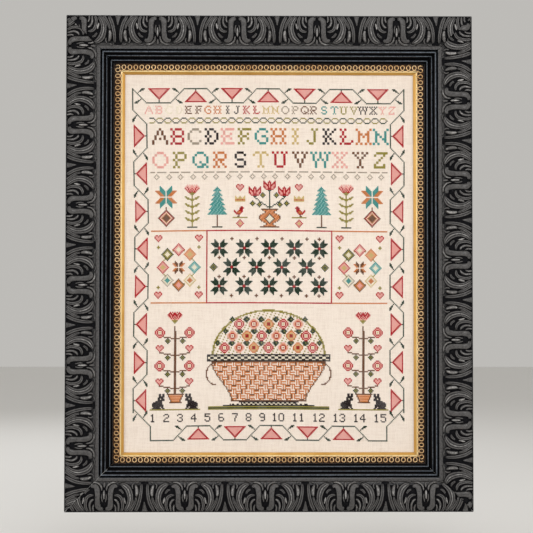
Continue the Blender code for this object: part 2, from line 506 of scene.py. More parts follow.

# Letters and numerals: rows from the top, x for a stitch
LETTERS = {
    "A": "...x.../..x.x../..x.x../.x...x./.x.x.x./x.....x/x.....x",
    "B": "x.xxx./.x...x/.x...x/x.xxx./.x...x/.x...x/x.xxx.",
    "C": "..xxx./.x...x/x...../x...../x...../.x...x/..xxx.",
    "D": "x.xx../.x..x./.x...x/x.x..x/.x...x/.x..x./x.xx..",
    "E": "x.xxxx/.x..../.x..x./x.xx../.x..x./.x..../x.xxxx",
    "F": "x.xxxx/.x..../.x..x./x.xx../.x..x./.x..../x.x...",
    "G": "..xxx./.x...x/x...../x..xx./x....x/.x...x/..xxx.",
    "H": "x.x.x.x/.x...x./.x...x./x.xxx.x/.x...x./.x...x./x.x.x.x",
    "I": "x.x/.x./.x./x.x/.x./.x./x.x",
    "J": "..x.x/...x./...x./...x./...x./x..x./.xx..",
    "K": "x.x..x/.x..x./.x.x../x.x.../.x.x../.x..x./x.x..x",
    "L": "x.x.../.x..../.x..../x.x.../.x..../.x...x/x.xxx.",
    "M": "x.....x/.x...x./.xx.xx./.x.x.x./.x...x./.x...x./x.x.x.x",
    "N": "x.....x/.x...x./.xx..x./.x.x.x./.x..xx./.x...x./x.x...x",
    "O": "..xxx../.x...x./x.....x/x.....x/x.....x/.x...x./..xxx..",
    "P": "x.xxx./.x...x/.x...x/x.xxx./.x..../.x..../x.x...",
    "Q": "..xxx../.x...x./x.....x/x.....x/x..x..x/.x..xx./..xxx.x",
    "R": "x.xxx../.x...x./.x...x./x.xxx../.x.x.../.x..x../x.x..x.",
    "S": ".xxx./x...x/x..../.xxx./....x/x...x/.xxx.",
    "T": ".xx.xx./x..x..x/...x.../...x.../...x.../...x.../..x.x..",
    "U": "x.x.x.x/.x...x./.x...x./.x...x./.x...x./.x...x./..xxx..",
    "V": "x.x.x.x/.x...x./.x...x./..x.x../..x.x../...x.../...x...",
    "W": "x.x.x.x.x/.x..x..x./.x..x..x./.x.x.x.x./..x...x../..x...x../..x...x..",
    "X": "x.x.x.x/.x...x./..x.x../...x.../..x.x../.x...x./x.x.x.x",
    "Y": "x.x.x.x/.x...x./..x.x../...x.../...x.../...x.../..x.x..",
    "Z": ".xxxxx/x...x./...x../..x.../.x..../x...x./xxxxx.",
    "0": ".xxx./x...x/x...x/x...x/x...x/x...x/.xxx.",
    "1": "..x../.xx../..x../..x../..x../..x../.xxx.",
    "2": ".xxx./x...x/....x/..xx./.x.../x..../xxxxx",
    "3": ".xxx./x...x/....x/..xx./....x/x...x/.xxx.",
    "4": "...x./..xx./.x.x./x..x./xxxxx/...x./...x.",
    "5": "xxxxx/x..../xxxx./....x/....x/x...x/.xxx.",
    "6": ".xxx./x..../x..../xxxx./x...x/x...x/.xxx.",
    "7": "xxxxx/....x/...x./...x./..x../..x../..x..",
    "8": ".xxx./x...x/x...x/.xxx./x...x/x...x/.xxx.",
    "9": ".xxx./x...x/x...x/.xxxx/....x/....x/.xxx.",
}

# Small motifs charted with the letters of the threads. A half chart starts at its middle column
BIRD = (
    "......rr.../.....rkrr../.....rrr.../r...rrrr.../rr.rccrr.../.rrcccr..../..rrrr...../"
    "....b....../...bb......"
)
RABBIT = (
    ".......kk.kk./.......kk.kk./.......kkkkk./......kkkkk../......kkwkkk./......kkkkkk./....kkkkkk.../"
    "..kkkkkkkk.../.kkkkkkkkk.../.kkkkkkkkkk../wkkkkkkkkkk../wwkkkkkk.kk../.kkkkkkkk.kk."
)
HEART_HALF = ".rr./rppr/pppr/ppr./pr../r..."
TULIP_HALF = "r....r/rr..rr/pr.rrr/prrrpr/prrppr/prpprr/rrppr./rrrr../gg..../g....."
CARNATION_HALF = "p.p.p../pp.ppp./pppprpp/rpprppr/prprpr./rprpr../orrr.../ooo..../oo...../o......"
CROWN_HALF = "y...y/yy.yy/yyyyy/ccrcc/yyyyy"
SPRIG_HALF = "o....oo/o..ooo./ooooo../oo...../o....../o......"


@dataclass
class Chart:
    """Stitches of the design, by column and row."""

    columns: int = 239
    rows: int = 299
    rosette_corner: float = 0.72
    edge_ease: float = 0.3
    ring_ease: float = 0.45
    cells: dict[tuple[int, int], Thread] = field(default_factory=dict)

    def put(self, column: float, row: float, code: str) -> None:
        """Work one stitch of the thread with this letter, or none for a dot."""
        if code != ".":
            self.cells[math.floor(column + 0.5), math.floor(row + 0.5)] = THREADS[code]

    def line(self, start: Point, end: Point, code: str) -> None:
        """Work a straight line of stitches.

        Args:
            start: its first column and row.
            end: its last column and row.
            code: its thread.
        """
        steps = max(1, round(max(abs(end[0] - start[0]), abs(end[1] - start[1]))))
        for step in range(steps + 1):
            share = step / steps
            self.put(start[0] + (end[0] - start[0]) * share, start[1] + (end[1] - start[1]) * share, code)

    def stamp(self, chart: str, left: float, top: float, code: str | None = None,
              scale: int = 1, flip: bool = False) -> None:
        """Work a small chart.

        Args:
            chart: its rows, parted by slashes.
            left: column of its left edge.
            top: row of its upper edge.
            code: thread for every stitch, or none where the chart has its own letters.
            scale: stitches each way for each mark of the chart.
            flip: whether it faces the other way.
        """
        for down, marks in enumerate(chart.split("/")):
            for along, mark in enumerate(reversed(marks) if flip else marks):
                if mark == ".":
                    continue
                for extra in range(scale * scale):
                    column = left + along * scale + extra % scale
                    self.put(column, top + down * scale + extra // scale, code or mark)

    def pair(self, half: str, middle: float, top: float, swaps: dict[str, str] | None = None) -> None:
        """Work a half chart and its mirror image.

        Args:
            half: its rows, from the middle column outwards.
            middle: column that it is mirrored about.
            top: row of its upper edge.
            swaps: threads to work in place of the chart's own.
        """
        for down, marks in enumerate(half.split("/")):
            for along, mark in enumerate(marks):
                shown = (swaps or {}).get(mark, mark)
                self.put(middle + along, top + down, shown)
                self.put(middle - along, top + down, shown)

    def diamond(self, middle: Point, reach: int, codes: str, corner: float = 1.0) -> None:
        """Work a diamond in rings.

        Args:
            middle: its middle column and row.
            reach: stitches from its middle to its tips.
            codes: threads of its rings, the edge's first.
            corner: how fast a slanting way out counts, which rounds the diamond where it is under 1.
        """
        for down in range(-reach, reach + 1):
            for along in range(-reach, reach + 1):
                away = max(abs(along), abs(down), (abs(along) + abs(down)) * corner)
                if away <= reach + self.edge_ease:
                    ring = int(reach + self.ring_ease - away)
                    self.put(middle[0] + along, middle[1] + down, codes[min(ring, len(codes) - 1)])

    def rosette(self, middle: Point, reach: int, codes: str) -> None:
        """Work a rounded flower in rings, its edge in the first thread."""
        self.diamond(middle, reach, codes, self.rosette_corner)

    def star(self, middle: Point, arm: int, codes: str) -> None:
        """Work an eight-pointed star of eight lozenges.

        Args:
            middle: its middle column and row.
            arm: stitches along a side of a lozenge.
            codes: the two threads that its lozenges take by turns.
        """
        for first in range(1, arm + 1):
            for second in range(first, first + arm):
                for along, down, code in ((second, first, codes[0]), (first, second, codes[1])):
                    for side_a in (-1, 1):
                        for side_b in (-1, 1):
                            self.put(middle[0] + side_a * along, middle[1] + side_b * down, code)

    def turned(self, middle: float, top: float, halves: Sequence[int], edge: str,
               fill: Callable[[int, int], str]) -> None:
        """Work a symmetric vessel.

        Args:
            middle: its middle column.
            top: its first row.
            halves: how far it reaches to each side, row by row.
            edge: thread of its outline.
            fill: gives the thread for a column from the middle and a row from the top.
        """
        for down, half in enumerate(halves):
            for along in range(-half, half + 1):
                rim = abs(along) == half or down in (0, len(halves) - 1)
                self.put(middle + along, top + down, edge if rim else fill(along, down))

    def words(self, text: str, start: float, pitch: float, top: float, codes: str, scale: int = 1) -> None:
        """Work letters or numerals at an even pitch.

        Args:
            text: what they say, with a blank for a gap.
            start: column where the first one's space starts.
            pitch: columns from one to the next.
            top: row of their upper edge.
            codes: threads that they take in turn.
            scale: stitches each way for each mark of a letter.
        """
        for index, letter in enumerate(text):
            if letter == " ":
                continue
            chart = LETTERS[letter]
            width = len(chart.split("/")[0]) * scale
            left = round(start + pitch * (index + 0.5) - width / 2)
            self.stamp(chart, left, top, codes[index % len(codes)], scale)


@dataclass
class BorderPlan:
    """Vine border: flats on an outer and an inner line joined by diagonals, with triangles and leaves."""

    chart: Chart
    depth: int = 12
    period: int = 32
    flat_half: int = 10
    first_across: int = 23
    first_down: int = 40
    spots_across: int = 7
    spots_down: int = 8
    leaf: tuple[tuple[int, int], ...] = (
        (1, 1), (2, 2), (3, 2), (3, 3), (4, 3), (4, 4), (5, 3), (5, 4), (6, 4))
    leaf_from_end: int = 4
    triangle_rows: int = 10
    corner_depth: int = 15
    bottom_shift: int = 2

    def place(self, side: str, along: int, inwards: int) -> tuple[int, int]:
        """Return the column and row for a place along a side of the design."""
        last_column, last_row = self.chart.columns - 1, self.chart.rows - 1
        return {
            "top": (along, inwards),
            "bottom": (along, last_row - inwards),
            "left": (inwards, along),
            "right": (last_column - inwards, along),
        }[side]

    def put(self, side: str, along: int, inwards: int, code: str) -> None:
        """Work one stitch of the border."""
        self.chart.put(*self.place(side, along, inwards), code)

    def diagonal(self, side: str, outer: int, heading: int, inner_leaf: bool = True,
                 depth: int | None = None) -> None:
        """Work a diagonal with its leaves.

        Args:
            side: side of the design that it lies on.
            outer: its place along the side where it leaves the outer line.
            heading: 1 or -1, its way along the side as it runs inwards.
            inner_leaf: whether it has a leaf at its inner end too.
            depth: how far inwards it runs, where that isn't the border's depth.
        """
        for step in range((depth or self.depth) + 1):
            self.put(side, outer + heading * step, step, "v")
        near, far = self.leaf_from_end, self.depth - self.leaf_from_end
        for along, away in self.leaf:
            self.put(side, outer + heading * (near + along), near - away, "g")
            if inner_leaf:
                self.put(side, outer + heading * (far - along), far + away, "g")

    def triangle(self, side: str, middle: int, base: int, heading: int) -> None:
        """Work a triangle and the stem that carries it.

        Args:
            side: side of the design.
            middle: its middle along the side.
            base: how far inwards its base lies.
            heading: 1 or -1, inwards or outwards to its apex.
        """
        for step in range(self.triangle_rows):
            half = self.triangle_rows - 1 - step
            for along in range(-half, half + 1):
                edge = step == 0 or abs(along) >= half - 1
                self.put(side, middle + along, base + heading * step, "r" if edge else "p")
        line = self.depth if heading > 0 else 0
        for inwards in range(base + heading * self.triangle_rows, line, heading):
            self.put(side, middle, inwards, "v")

    def run(self, side: str, first: int, count: int, inner_first: bool, base: int,
            skip: Sequence[int] = ()) -> None:
        """Work the flats, diagonals and triangles of one side.

        Args:
            side: side of the design.
            first: middle of its first flat.
            count: number of flats.
            inner_first: whether the first flat lies on the inner line.
            base: how far inwards the triangles by the inner line start.
            skip: flats that have no triangle.
        """
        for spot in range(count):
            middle = first + self.period * spot
            inner = (spot % 2 == 0) == inner_first
            for along in range(middle - self.flat_half, middle + self.flat_half + 1):
                if side != "bottom" or along < self.chart.columns - self.corner_depth:
                    self.put(side, along, self.depth if inner else 0, "v")
            if spot not in skip:
                self.triangle(side, middle, base if inner else self.depth - 1, 1 if inner else -1)
            if spot < count - 1:
                end = middle + self.flat_half
                self.diagonal(side, end + self.depth if inner else end, -1 if inner else 1)

    def work(self) -> None:
        """Work the whole border."""
        last_spot = self.first_down + self.period * (self.spots_down - 1) + self.flat_half
        self.run("top", self.first_across, self.spots_across, True, 0)
        self.diagonal("top", 0, 1)
        self.diagonal("top", self.chart.columns - 1, -1)
        corners = (0, self.spots_across - 1)
        self.run("bottom", self.first_across + self.bottom_shift, self.spots_across, False, 1, skip=corners)
        start = self.first_down - self.flat_half - self.depth
        corner = self.chart.rows - 1 - self.depth
        for side in ("left", "right"):
            self.run(side, self.first_down, self.spots_down, True, 1)
            for along in range(1, start + 1):
                self.put(side, along, 0, "v")
            self.diagonal(side, start, 1, inner_leaf=False)
            for along in range(last_spot, corner - self.corner_depth + 1):
                self.put(side, along, 0, "v")
            self.diagonal(side, corner - self.corner_depth, 1, depth=self.corner_depth)
            for along in range(corner, self.chart.rows):
                self.put(side, along, self.corner_depth, "v")


@dataclass
class Design:
    """Everything charted on the sampler, band by band."""

    chart: Chart = field(default_factory=Chart)
    middle: int = 119
    left: int = 15
    right: int = 223
    strand: tuple[int, ...] = (0, 0, 0, 0, 1, 2, 3, 4, 4, 4, 4, 3, 2, 1)

    # Letters of each line, its start, pitch, top row, threads and size
    letter_lines: tuple[tuple[str, float, float, int, str, int], ...] = (
        ("ABCDEFGHIJKLMNOPQRSTUVWXYZ", 10.7, 8.53, 15, "ppwwbbcckkrryyeebbttookkpp", 1),
        ("ABCDEFGHIJKLMN", 16.2, 14.95, 34, "brekpotcyokrct", 2),
        ("OPQRSTUVWXYZ", 14.9, 17.63, 54, "potckyrbtpbo", 2),
    )

    def mirrored(self, away: float) -> tuple[float, float]:
        """Return the two columns at a distance from the middle."""
        return self.middle - away, self.middle + away

    def ground(self, middle: float, row: int, half: int = 4, code: str = "g") -> None:
        """Work the short line that something stands on."""
        self.chart.line((middle - half, row), (middle + half, row), code)

    def alphabets(self) -> None:
        """Work the small alphabet, the two lines of large letters and the twisted band between them."""
        for letters, start, pitch, top, codes, scale in self.letter_lines:
            self.chart.words(letters, start, pitch, top, codes, scale)
        self.twist(25)

    def twist(self, top: int) -> None:
        """Work two interlaced strands along the whole width."""
        for column in range(self.left, self.right + 1):
            over = self.strand[(column - self.left) % len(self.strand)]
            self.chart.put(column, top + max(self.strand) - over, "o")
            self.chart.put(column, top + over, "g")

    def dashes(self, row: int, pitch: float, dash: int) -> None:
        """Work a broken line with small dotted diamonds hung under its gaps.

        Args:
            row: its row.
            pitch: columns from one dash to the next.
            dash: stitches in a dash.
        """
        first, reach, drop = self.left - dash // 2, 2, 4
        for index in range(int((self.right - first) / pitch) + 1):
            start = first + round(index * pitch)
            self.chart.line((max(start, self.left), row), (min(start + dash - 1, self.right), row), "e")
            if index:
                self.chart.diamond((start - 1, row + drop), reach, "e.")

    def stepped_tree(self, middle: float, top: int, tiers: int, codes: str, foot: int) -> None:
        """Work a tree of widening tiers.

        Args:
            middle: column of its trunk.
            top: row of its tip.
            tiers: number of tiers.
            codes: its thread and the one of its lights.
            foot: row where its trunk ends.
        """
        tier_rows, light_every = 4, 3
        for tier in range(tiers):
            for step in range(tier_rows):
                half = tier + step
                for along in range(-half, half + 1):
                    lit = (along + step) % light_every == 0 and abs(along) < half
                    self.chart.put(middle + along, top + tier * tier_rows + step, codes[int(lit)])
        self.chart.line((middle, top + tiers * tier_rows), (middle, foot), "b")
        self.ground(middle, foot)

    def plant(self, middle: float, top: int, head: str, leaves: str, foot: int) -> None:
        """Work a flower on a leafy stem.

        Args:
            middle: column of its stem.
            top: row of its upper edge.
            head: half chart of its head.
            leaves: half chart of a pair of leaves.
            foot: row where its stem ends.
        """
        self.chart.pair(head, middle, top)
        row = top + len(head.split("/"))
        step = len(leaves.split("/"))
        while row + step <= foot:
            self.chart.pair(leaves, middle, row)
            row += step
        self.chart.line((middle, row), (middle, foot), leaves[0])
        self.ground(middle, foot)

    def vase(self, foot: int) -> None:
        """Work a vase of tulips and buds that stands on a row."""
        halves = (7, 6, 4, 4, 6, 8, 9, 9, 9, 8, 7, 5, 3, 3, 5, 8)
        tulips, tulip_rows, lean, joint_rise = ((0, 79), (13, 84)), 9, 0.45, 5
        buds = ((6, 91), (9, 99), (15, 98))
        top = foot - len(halves) + 1
        for away, row in tulips:
            for column in self.mirrored(away):
                joint = (self.middle + (column - self.middle) * lean, top - joint_rise)
                self.chart.pair(TULIP_HALF, column, row)
                self.chart.line((column, row + tulip_rows), joint, "g")
                self.chart.line(joint, (self.middle, top - 1), "g")
        for away, row in buds:
            for column in self.mirrored(away):
                self.chart.diamond((column, row), 2, "go")
        self.chart.turned(self.middle, top, halves, "b", self.vase_fill)

    def vase_fill(self, along: int, down: int) -> str:
        """Return the thread inside the vase: terracotta with a cream lozenge and peach lights."""
        lozenge_reach, lozenge_row, light_every = 4, 8, 4
        lozenge = lozenge_reach - abs(down - lozenge_row)
        if abs(along) <= lozenge:
            return "k" if abs(along) == lozenge else "w"
        return "a" if (along + down) % light_every == 0 else "c"

    def flower_band(self) -> None:
        """Work the band of a vase, birds, trees and flowers above the panels."""
        foot = 118
        birds, trees, flowers, stars = 26, 46, 68, 91
        heart_row, crown_row, bird_row, perch_row, bud_row = 82, 92, 101, 110, 115
        tree_row, flower_row, star_row, link_row, lozenge_row = 84, 82, 92, 101, 110
        self.vase(foot)
        for side, column in zip((-1, 1), self.mirrored(birds)):
            self.chart.pair(CROWN_HALF, column, crown_row)
            self.chart.stamp(BIRD, column - 5, bird_row, flip=side > 0)
            self.ground(column, perch_row, 6, "o")
            self.chart.diamond((column, bud_row), 3, "rpy")
            self.chart.pair(HEART_HALF, column, heart_row)
        for column in self.mirrored(trees):
            self.stepped_tree(column, tree_row, 6, "tl", foot)
        for column in self.mirrored(flowers):
            self.plant(column, flower_row, CARNATION_HALF, SPRIG_HALF, foot)
        for column in self.mirrored(stars):
            self.chart.star((column, star_row), 5, "ct")
            self.chart.diamond((column, lozenge_row), 7, "brwcb")
            self.chart.line((column, link_row), (column, link_row + 1), "b")

    def panel(self) -> None:
        """Work the red-edged panel of stars and the straight lines beside it."""
        low, high, top, foot, margin = 64, 174, 121, 182, 5
        pitch, middle_row, side_bud = 22, 152, 49
        for row in (top, foot):
            self.chart.line((self.left, row), (low - 1, row), "c")
            self.chart.line((high + 1, row), (self.right, row), "c")
            self.chart.line((low, row), (high, row), "r")
        for column in (low, high):
            self.chart.line((column, top), (column, foot), "r")
        for row, count in ((middle_row - 16, 5), (middle_row, 4), (middle_row + 16, 5)):
            for index in range(count):
                column = self.middle + (index - (count - 1) / 2) * pitch
                self.chart.star((column, row), 4, "gg")
                self.chart.diamond((column, row), 1, "rr")
        for row, shift in ((128, pitch // 2), (144, 0), (160, 0), (176, pitch // 2)):
            for index in range(-2, 3):
                column = self.middle + index * pitch + (shift if index < 2 else 0)
                if low + margin < column < high - margin:
                    self.chart.diamond((column, row), 1, "bb")
        for column in self.mirrored(side_bud):
            self.chart.diamond((column, middle_row), 3, "gov")

    def wreaths(self) -> None:
        """Work a ring of coloured diamonds on each side of the panel, with hearts in its corners."""
        away, row, across, up, steps = 80, 152, 14, 15, 64
        corner, heart_rows, dot_rows = 18, (125, 173), (135, 169)
        colours = ("rppw", "caay", "tllw", "ywwc", "bccp", "ewwt", "rppy", "goow")
        for middle in self.mirrored(away):
            for step in range(steps):
                self.chart.put(*on_ellipse((middle, row), across, up, step / steps), "o")
            for index, codes in enumerate(colours):
                place = on_ellipse((middle, row), across, up, index / len(colours))
                self.chart.diamond((round(place[0]), round(place[1])), 5, codes)
            self.chart.star((middle, row), 3, "cb")
            for column in (middle - corner, middle + corner):
                for heart_row, dot_row in zip(heart_rows, dot_rows):
                    self.chart.pair(HEART_HALF, column, heart_row)
                    self.chart.diamond((column, dot_row), 1, "oo")

    def dome(self, foot: int) -> None:
        """Work a dome of roses and leaves that rises from a row."""
        across, up, inset = 50, 38, 3
        rim = (0.97, 1.005)
        lines, line_rows, first_line, spacing = 4, 10, 6, 13
        leaf_away, leaf_rise = 6, 4

        def away(column: float, row: float, less: int = 0) -> float:
            """Return how far out a place lies, 1 on the dome's edge, made smaller by some stitches."""
            return math.hypot((column - self.middle) / (across - less), (row - foot) / (up - less))

        for row in range(foot - up, foot):
            for column in range(self.middle - across, self.middle + across + 1):
                out = away(column, row)
                if rim[0] < out < rim[1] or (out < rim[0] and (column * 3 + row * 5) % 7 == 0):
                    self.chart.put(column, row, "o")
        for line in range(lines):
            row = foot - first_line - line * line_rows
            for index in range(-4, 5):
                column = self.middle + index * spacing + (spacing / 2 if line % 2 else 0)
                if away(column, row, inset) <= 1:
                    self.chart.rosette((column, row), 4, ("rprwy", "parwr", "cayrb")[(index + line) % 3])
                    for side in (-1, 1):
                        self.chart.diamond((column + side * leaf_away, row - leaf_rise), 2, "gvo")

    def basket(self) -> None:
        """Work the big footed basket with its dome, its handles and the ground below it."""
        rim_row, rim_rows, rim_half = 226, 6, 54
        body_rows, body_half, body_narrower = 34, 50, 17
        foot_halves = (26, 24, 34, 40)
        ground_row, ground_rows, ground_half = 270, 3, 53
        handle_row, handle_away, handle_out, handle_up, handle_steps = 242, 47, 8, 9, 40
        self.dome(rim_row)
        self.chart.turned(self.middle, rim_row, (rim_half,) * rim_rows, "k", self.checks(3, 2))
        narrower = [body_narrower * smooth_step(step / (body_rows - 1)) for step in range(body_rows)]
        halves = [round(body_half - less) for less in narrower]
        self.chart.turned(self.middle, rim_row + rim_rows, halves, "b", self.basket_weave)
        self.chart.turned(self.middle, rim_row + rim_rows + body_rows, foot_halves, "k", self.checks(2, 1))
        for row in range(ground_row, ground_row + ground_rows):
            self.ground(self.middle, row, ground_half, "og"[row % 2])
        for side in (-1, 1):
            centre = (self.middle + side * handle_away, handle_row)
            for step in range(handle_steps):
                half_way = step / (handle_steps - 1) / 2
                self.chart.put(*on_ellipse(centre, side * handle_out, handle_up, half_way), "b")

    def checks(self, across: int, up: int) -> Callable[[int, int], str]:
        """Return a filling of dark and cream checks of so many columns and rows."""
        return lambda along, down: "kw"[(along // across + down // up) % 2]

    def basket_weave(self, along: int, down: int) -> str:
        """Return the thread of a basket weave: crossing terracotta strands, some of them brown."""
        strand_width, brown_every = 4, 3
        block = along // strand_width + down // strand_width
        strand = (down if block % 2 else along) % strand_width
        if strand == 0:
            return "." if block % brown_every else "b"
        return "." if strand == strand_width // 2 else "c"

    def tall_stems(self) -> None:
        """Work a potted tall stem with pairs of flowers and hearts, and rabbits, at each side."""
        away, head_row, stem_row, second_row, pot_row, ground_row = 83, 190, 202, 206, 259, 272
        pairs, branch = ((207, "rose"), (221, "heart"), (235, "rose"), (249, "heart")), 13
        pot_halves = (7, 6, 6, 5, 5, 4, 4, 5)
        for column in self.mirrored(away):
            self.chart.line((column, stem_row), (column, pot_row - 1), "b")
            self.chart.line((column + 1, second_row), (column + 1, pot_row - 1), "b")
            self.chart.pair(CARNATION_HALF, column, head_row, {"p": "r", "r": "p"})
            for row, kind in pairs:
                for out in (-branch, branch):
                    self.chart.line((column + (out > 0), row + 5), (column + out, row + 3), "b")
                    if kind == "rose":
                        self.chart.rosette((column + out, row), 4, "rprwy")
                    else:
                        self.chart.pair(HEART_HALF, column + out, row - 3)
                    self.chart.diamond((column + out / 2, row + 7), 2, "gov")
            self.chart.turned(column + 0.5, pot_row, pot_halves, "b", lambda along, down: "ca"[down % 2])
            self.chart.line((column - 21, ground_row), (column + 22, ground_row), "o")
            for out in (-14, 15):
                self.chart.stamp(RABBIT, column + out - 6, pot_row, flip=out > 0)

    def numerals(self) -> None:
        """Work a line of plain numerals along the bottom."""
        text = "1 2 3 4 5 6 7 8 9 10 11 12 13 14 15"
        self.chart.words(text, self.left, (self.right - self.left) / len(text), 276, "k")

    def work(self) -> Chart:
        """Work every band and return the finished chart."""
        BorderPlan(self.chart).work()
        self.alphabets()
        self.dashes(71, 10.4, 8)
        self.flower_band()
        self.panel()
        self.wreaths()
        self.basket()
        self.tall_stems()
        self.numerals()
        return self.chart


class GeometryTree(NodeBuilder):
    """A Geometry Nodes tree under construction, with named inputs."""

    def __init__(self, name: str) -> None:
        """Start a tree with a geometry socket at each end."""
        super().__init__(bpy.data.node_groups.new(name, "GeometryNodeTree"))
        self.sockets: dict[str, str] = {}
        for end in ("INPUT", "OUTPUT"):
            self.tree.interface.new_socket("Geometry", in_out=end, socket_type="NodeSocketGeometry")
        self.entry = self.tree.nodes.new("NodeGroupInput")
        self.exit = self.tree.nodes.new("NodeGroupOutput")

    def value(self, name: str, kind: str = "Float") -> Socket:
        """Add a named input and return the socket that gives it."""
        socket = self.tree.interface.new_socket(name, in_out="INPUT", socket_type="NodeSocket" + kind)
        self.sockets[name] = socket.identifier
        return self.entry.outputs[name]

    def vector(self, x: Value = 0.0, y: Value = 0.0, z: Value = 0.0) -> Socket:
        """Return a vector made of three values."""
        return self.add("ShaderNodeCombineXYZ", inputs={"X": x, "Y": y, "Z": z}).outputs["Vector"]

    def moved(self, geometry: Socket, **inputs: object) -> Socket:
        """Return geometry with its translation, rotation or scale changed."""
        named = {"Geometry": geometry, **{name.capitalize(): value for name, value in inputs.items()}}
        return self.add("GeometryNodeTransform", inputs=named).outputs["Geometry"]

    def random(self, low: float, high: float, seed: int) -> Socket:
        """Return a random value for each point, the same on every run."""
        node = self.add("FunctionNodeRandomValue", {"data_type": "FLOAT"})
        wanted = {"Min": low, "Max": high, "Seed": seed}
        for socket in node.inputs:
            if socket.enabled and socket.name in wanted:
                socket.default_value = wanted[socket.name]
        return next(socket for socket in node.outputs if socket.enabled)

    def finish(self, geometry: Socket, material: Socket) -> None:
        """End the tree: real geometry, shaded smooth, with its material."""
        real = self.add("GeometryNodeRealizeInstances", inputs={"Geometry": geometry}).outputs["Geometry"]
        smooth = self.add("GeometryNodeSetShadeSmooth", inputs={"Geometry": real}).outputs["Geometry"]
        dressed = self.add("GeometryNodeSetMaterial", inputs={"Geometry": smooth, "Material": material})
        self.tree.links.new(dressed.outputs["Geometry"], self.exit.inputs["Geometry"])

    def bake(self, source: bpy.types.Mesh, values: dict[str, object]) -> bpy.types.Mesh:
        """Run the tree on a mesh.

        Args:
            source: the mesh that it starts from, which is then removed.
            values: what its named inputs take.

        Returns:
            The result as a plain mesh.
        """
        holder = bpy.data.objects.new("holder", source)
        bpy.context.scene.collection.objects.link(holder)
        modifier = holder.modifiers.new("nodes", "NODES")
        modifier.node_group = self.tree
        for name, value in values.items():
            modifier[self.sockets[name]] = value
        evaluated = holder.evaluated_get(bpy.context.evaluated_depsgraph_get())
        mesh = bpy.data.meshes.new_from_object(evaluated)
        bpy.data.objects.remove(holder, do_unlink=True)
        bpy.data.meshes.remove(source)
        return mesh


def finished(model: bmesh.types.BMesh, name: str) -> bpy.types.Mesh:
    """Make a mesh of a finished model.

    Args:
        model: the model, which is then freed.
        name: the mesh's name.

    Returns:
        The mesh.
    """
    mesh = bpy.data.meshes.new(name)
    model.to_mesh(mesh)
    model.free()
    return mesh


def mesh_of_points(name: str, points: Iterable[Sequence[float]]) -> bpy.types.Mesh:
    """Return a mesh of loose points."""
    mesh = bpy.data.meshes.new(name)
    mesh.from_pydata([tuple(point) for point in points], [], [])
    return mesh


def add_piece(name: str, mesh: bpy.types.Mesh, material: bpy.types.Material | None, slot: str,
              *replaced: str) -> bpy.types.Object:
    """Link a mesh as a finished piece that rides on the frame's body.

    Args:
        name: the piece's name.
        mesh: its mesh, already in place.
        material: its one material, or none where the mesh has its own.
        slot: not used.
        replaced: frame nodes that it stands for.

    Returns:
        The piece's object.
    """
    mesh.name = name
    if material is not None:
        mesh.materials.clear()
        mesh.materials.append(material)
    piece = bpy.data.objects.new(name, mesh)
    bpy.context.scene.collection.objects.link(piece)
    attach(piece, BODY)
    if replaced:
        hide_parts(*replaced)
    triangles = sum(len(face.vertices) - 2 for face in mesh.polygons)
    log.info("%s: %d triangles", name, triangles)
    return piece


class Side(Enum):
    """Sides of the frame, each with its turn about Y from the top one."""

    TOP = ("top", 0.0)
    RIGHT = ("right", math.pi / 2)
    BOTTOM = ("bottom", math.pi)
    LEFT = ("left", -math.pi / 2)

    @property
    def label(self) -> str:
        """Plain name of this side."""
        return self.value[0]

    @property
    def turn(self) -> float:
        """Turn about Y in radians."""
        return self.value[1]


@dataclass(frozen=True)
class FramePlace:
    """Outer size and middle of the frame."""

    low: Vector
    high: Vector

    @classmethod
    def read(cls) -> "FramePlace":
        """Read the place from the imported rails."""
        lows, highs = zip(*(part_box("rail_" + side.label) for side in Side))
        low = Vector([min(values) for values in zip(*lows)])
        high = Vector([max(values) for values in zip(*highs)])
        return cls(low, high)

    @property
    def middle(self) -> Vector:
        """Middle of the frame on its back plane."""
        return Vector(((self.low.x + self.high.x) / 2, 0.0, (self.low.z + self.high.z) / 2))

    def length(self, side: Side) -> float:
        """Outer length of a side."""
        upright = side in (Side.LEFT, Side.RIGHT)
        return self.high.z - self.low.z if upright else self.high.x - self.low.x

    def matrix(self, side: Side) -> Matrix:
        """Return the place of a side, where Z = 0 is its outer edge and X runs along it."""
        upright = side in (Side.LEFT, Side.RIGHT)
        reach = (self.high.x - self.low.x if upright else self.high.z - self.low.z) / 2
        outward = Vector((math.sin(side.turn) * reach, 0.0, math.cos(side.turn) * reach))
        return Matrix.Translation(self.middle + outward) @ Matrix.Rotation(side.turn, 4, "Y")


def cut_mitres(model: bmesh.types.BMesh, length: float, gap: float) -> None:
    """Cut both ends of what lies on a rail at 45 degrees and close the cuts.

    Args:
        model: the mesh, in the rail's own place.
        length: outer length of the rail.
        gap: space left between two rails.
    """
    for side in (-1, 1):
        outward = Vector((side, 0.0, -1.0)).normalized()
        corner = Vector((side * length / 2, 0.0, 0.0))
        cut = bmesh.ops.bisect_plane(
            model,
            geom=model.verts[:] + model.edges[:] + model.faces[:],
            dist=WELD_DISTANCE,
            plane_co=corner - outward * gap / 2,
            plane_no=outward,
            clear_outer=True,
        )
        rim = [item for item in cut["geom_cut"] if isinstance(item, bmesh.types.BMEdge)]
        bmesh.ops.holes_fill(model, edges=rim, sides=0)


def half_round(centre: float, height: float, radius: float, steps: int) -> list[Point]:
    """Return points over a half-round bead, from its outer foot to its inner foot."""
    angles = [math.pi * (1 - step / steps) for step in range(steps + 1)]
    return [(centre + radius * math.cos(angle), height + radius * math.sin(angle)) for angle in angles]


def in_metres(points: Triples) -> list[Place]:
    """Return points of a section with their millimetres as metres, and their wear and painted light as it is.
    """
    return [(inwards * MM, height * MM, wear_and_light) for inwards, height, wear_and_light in points]


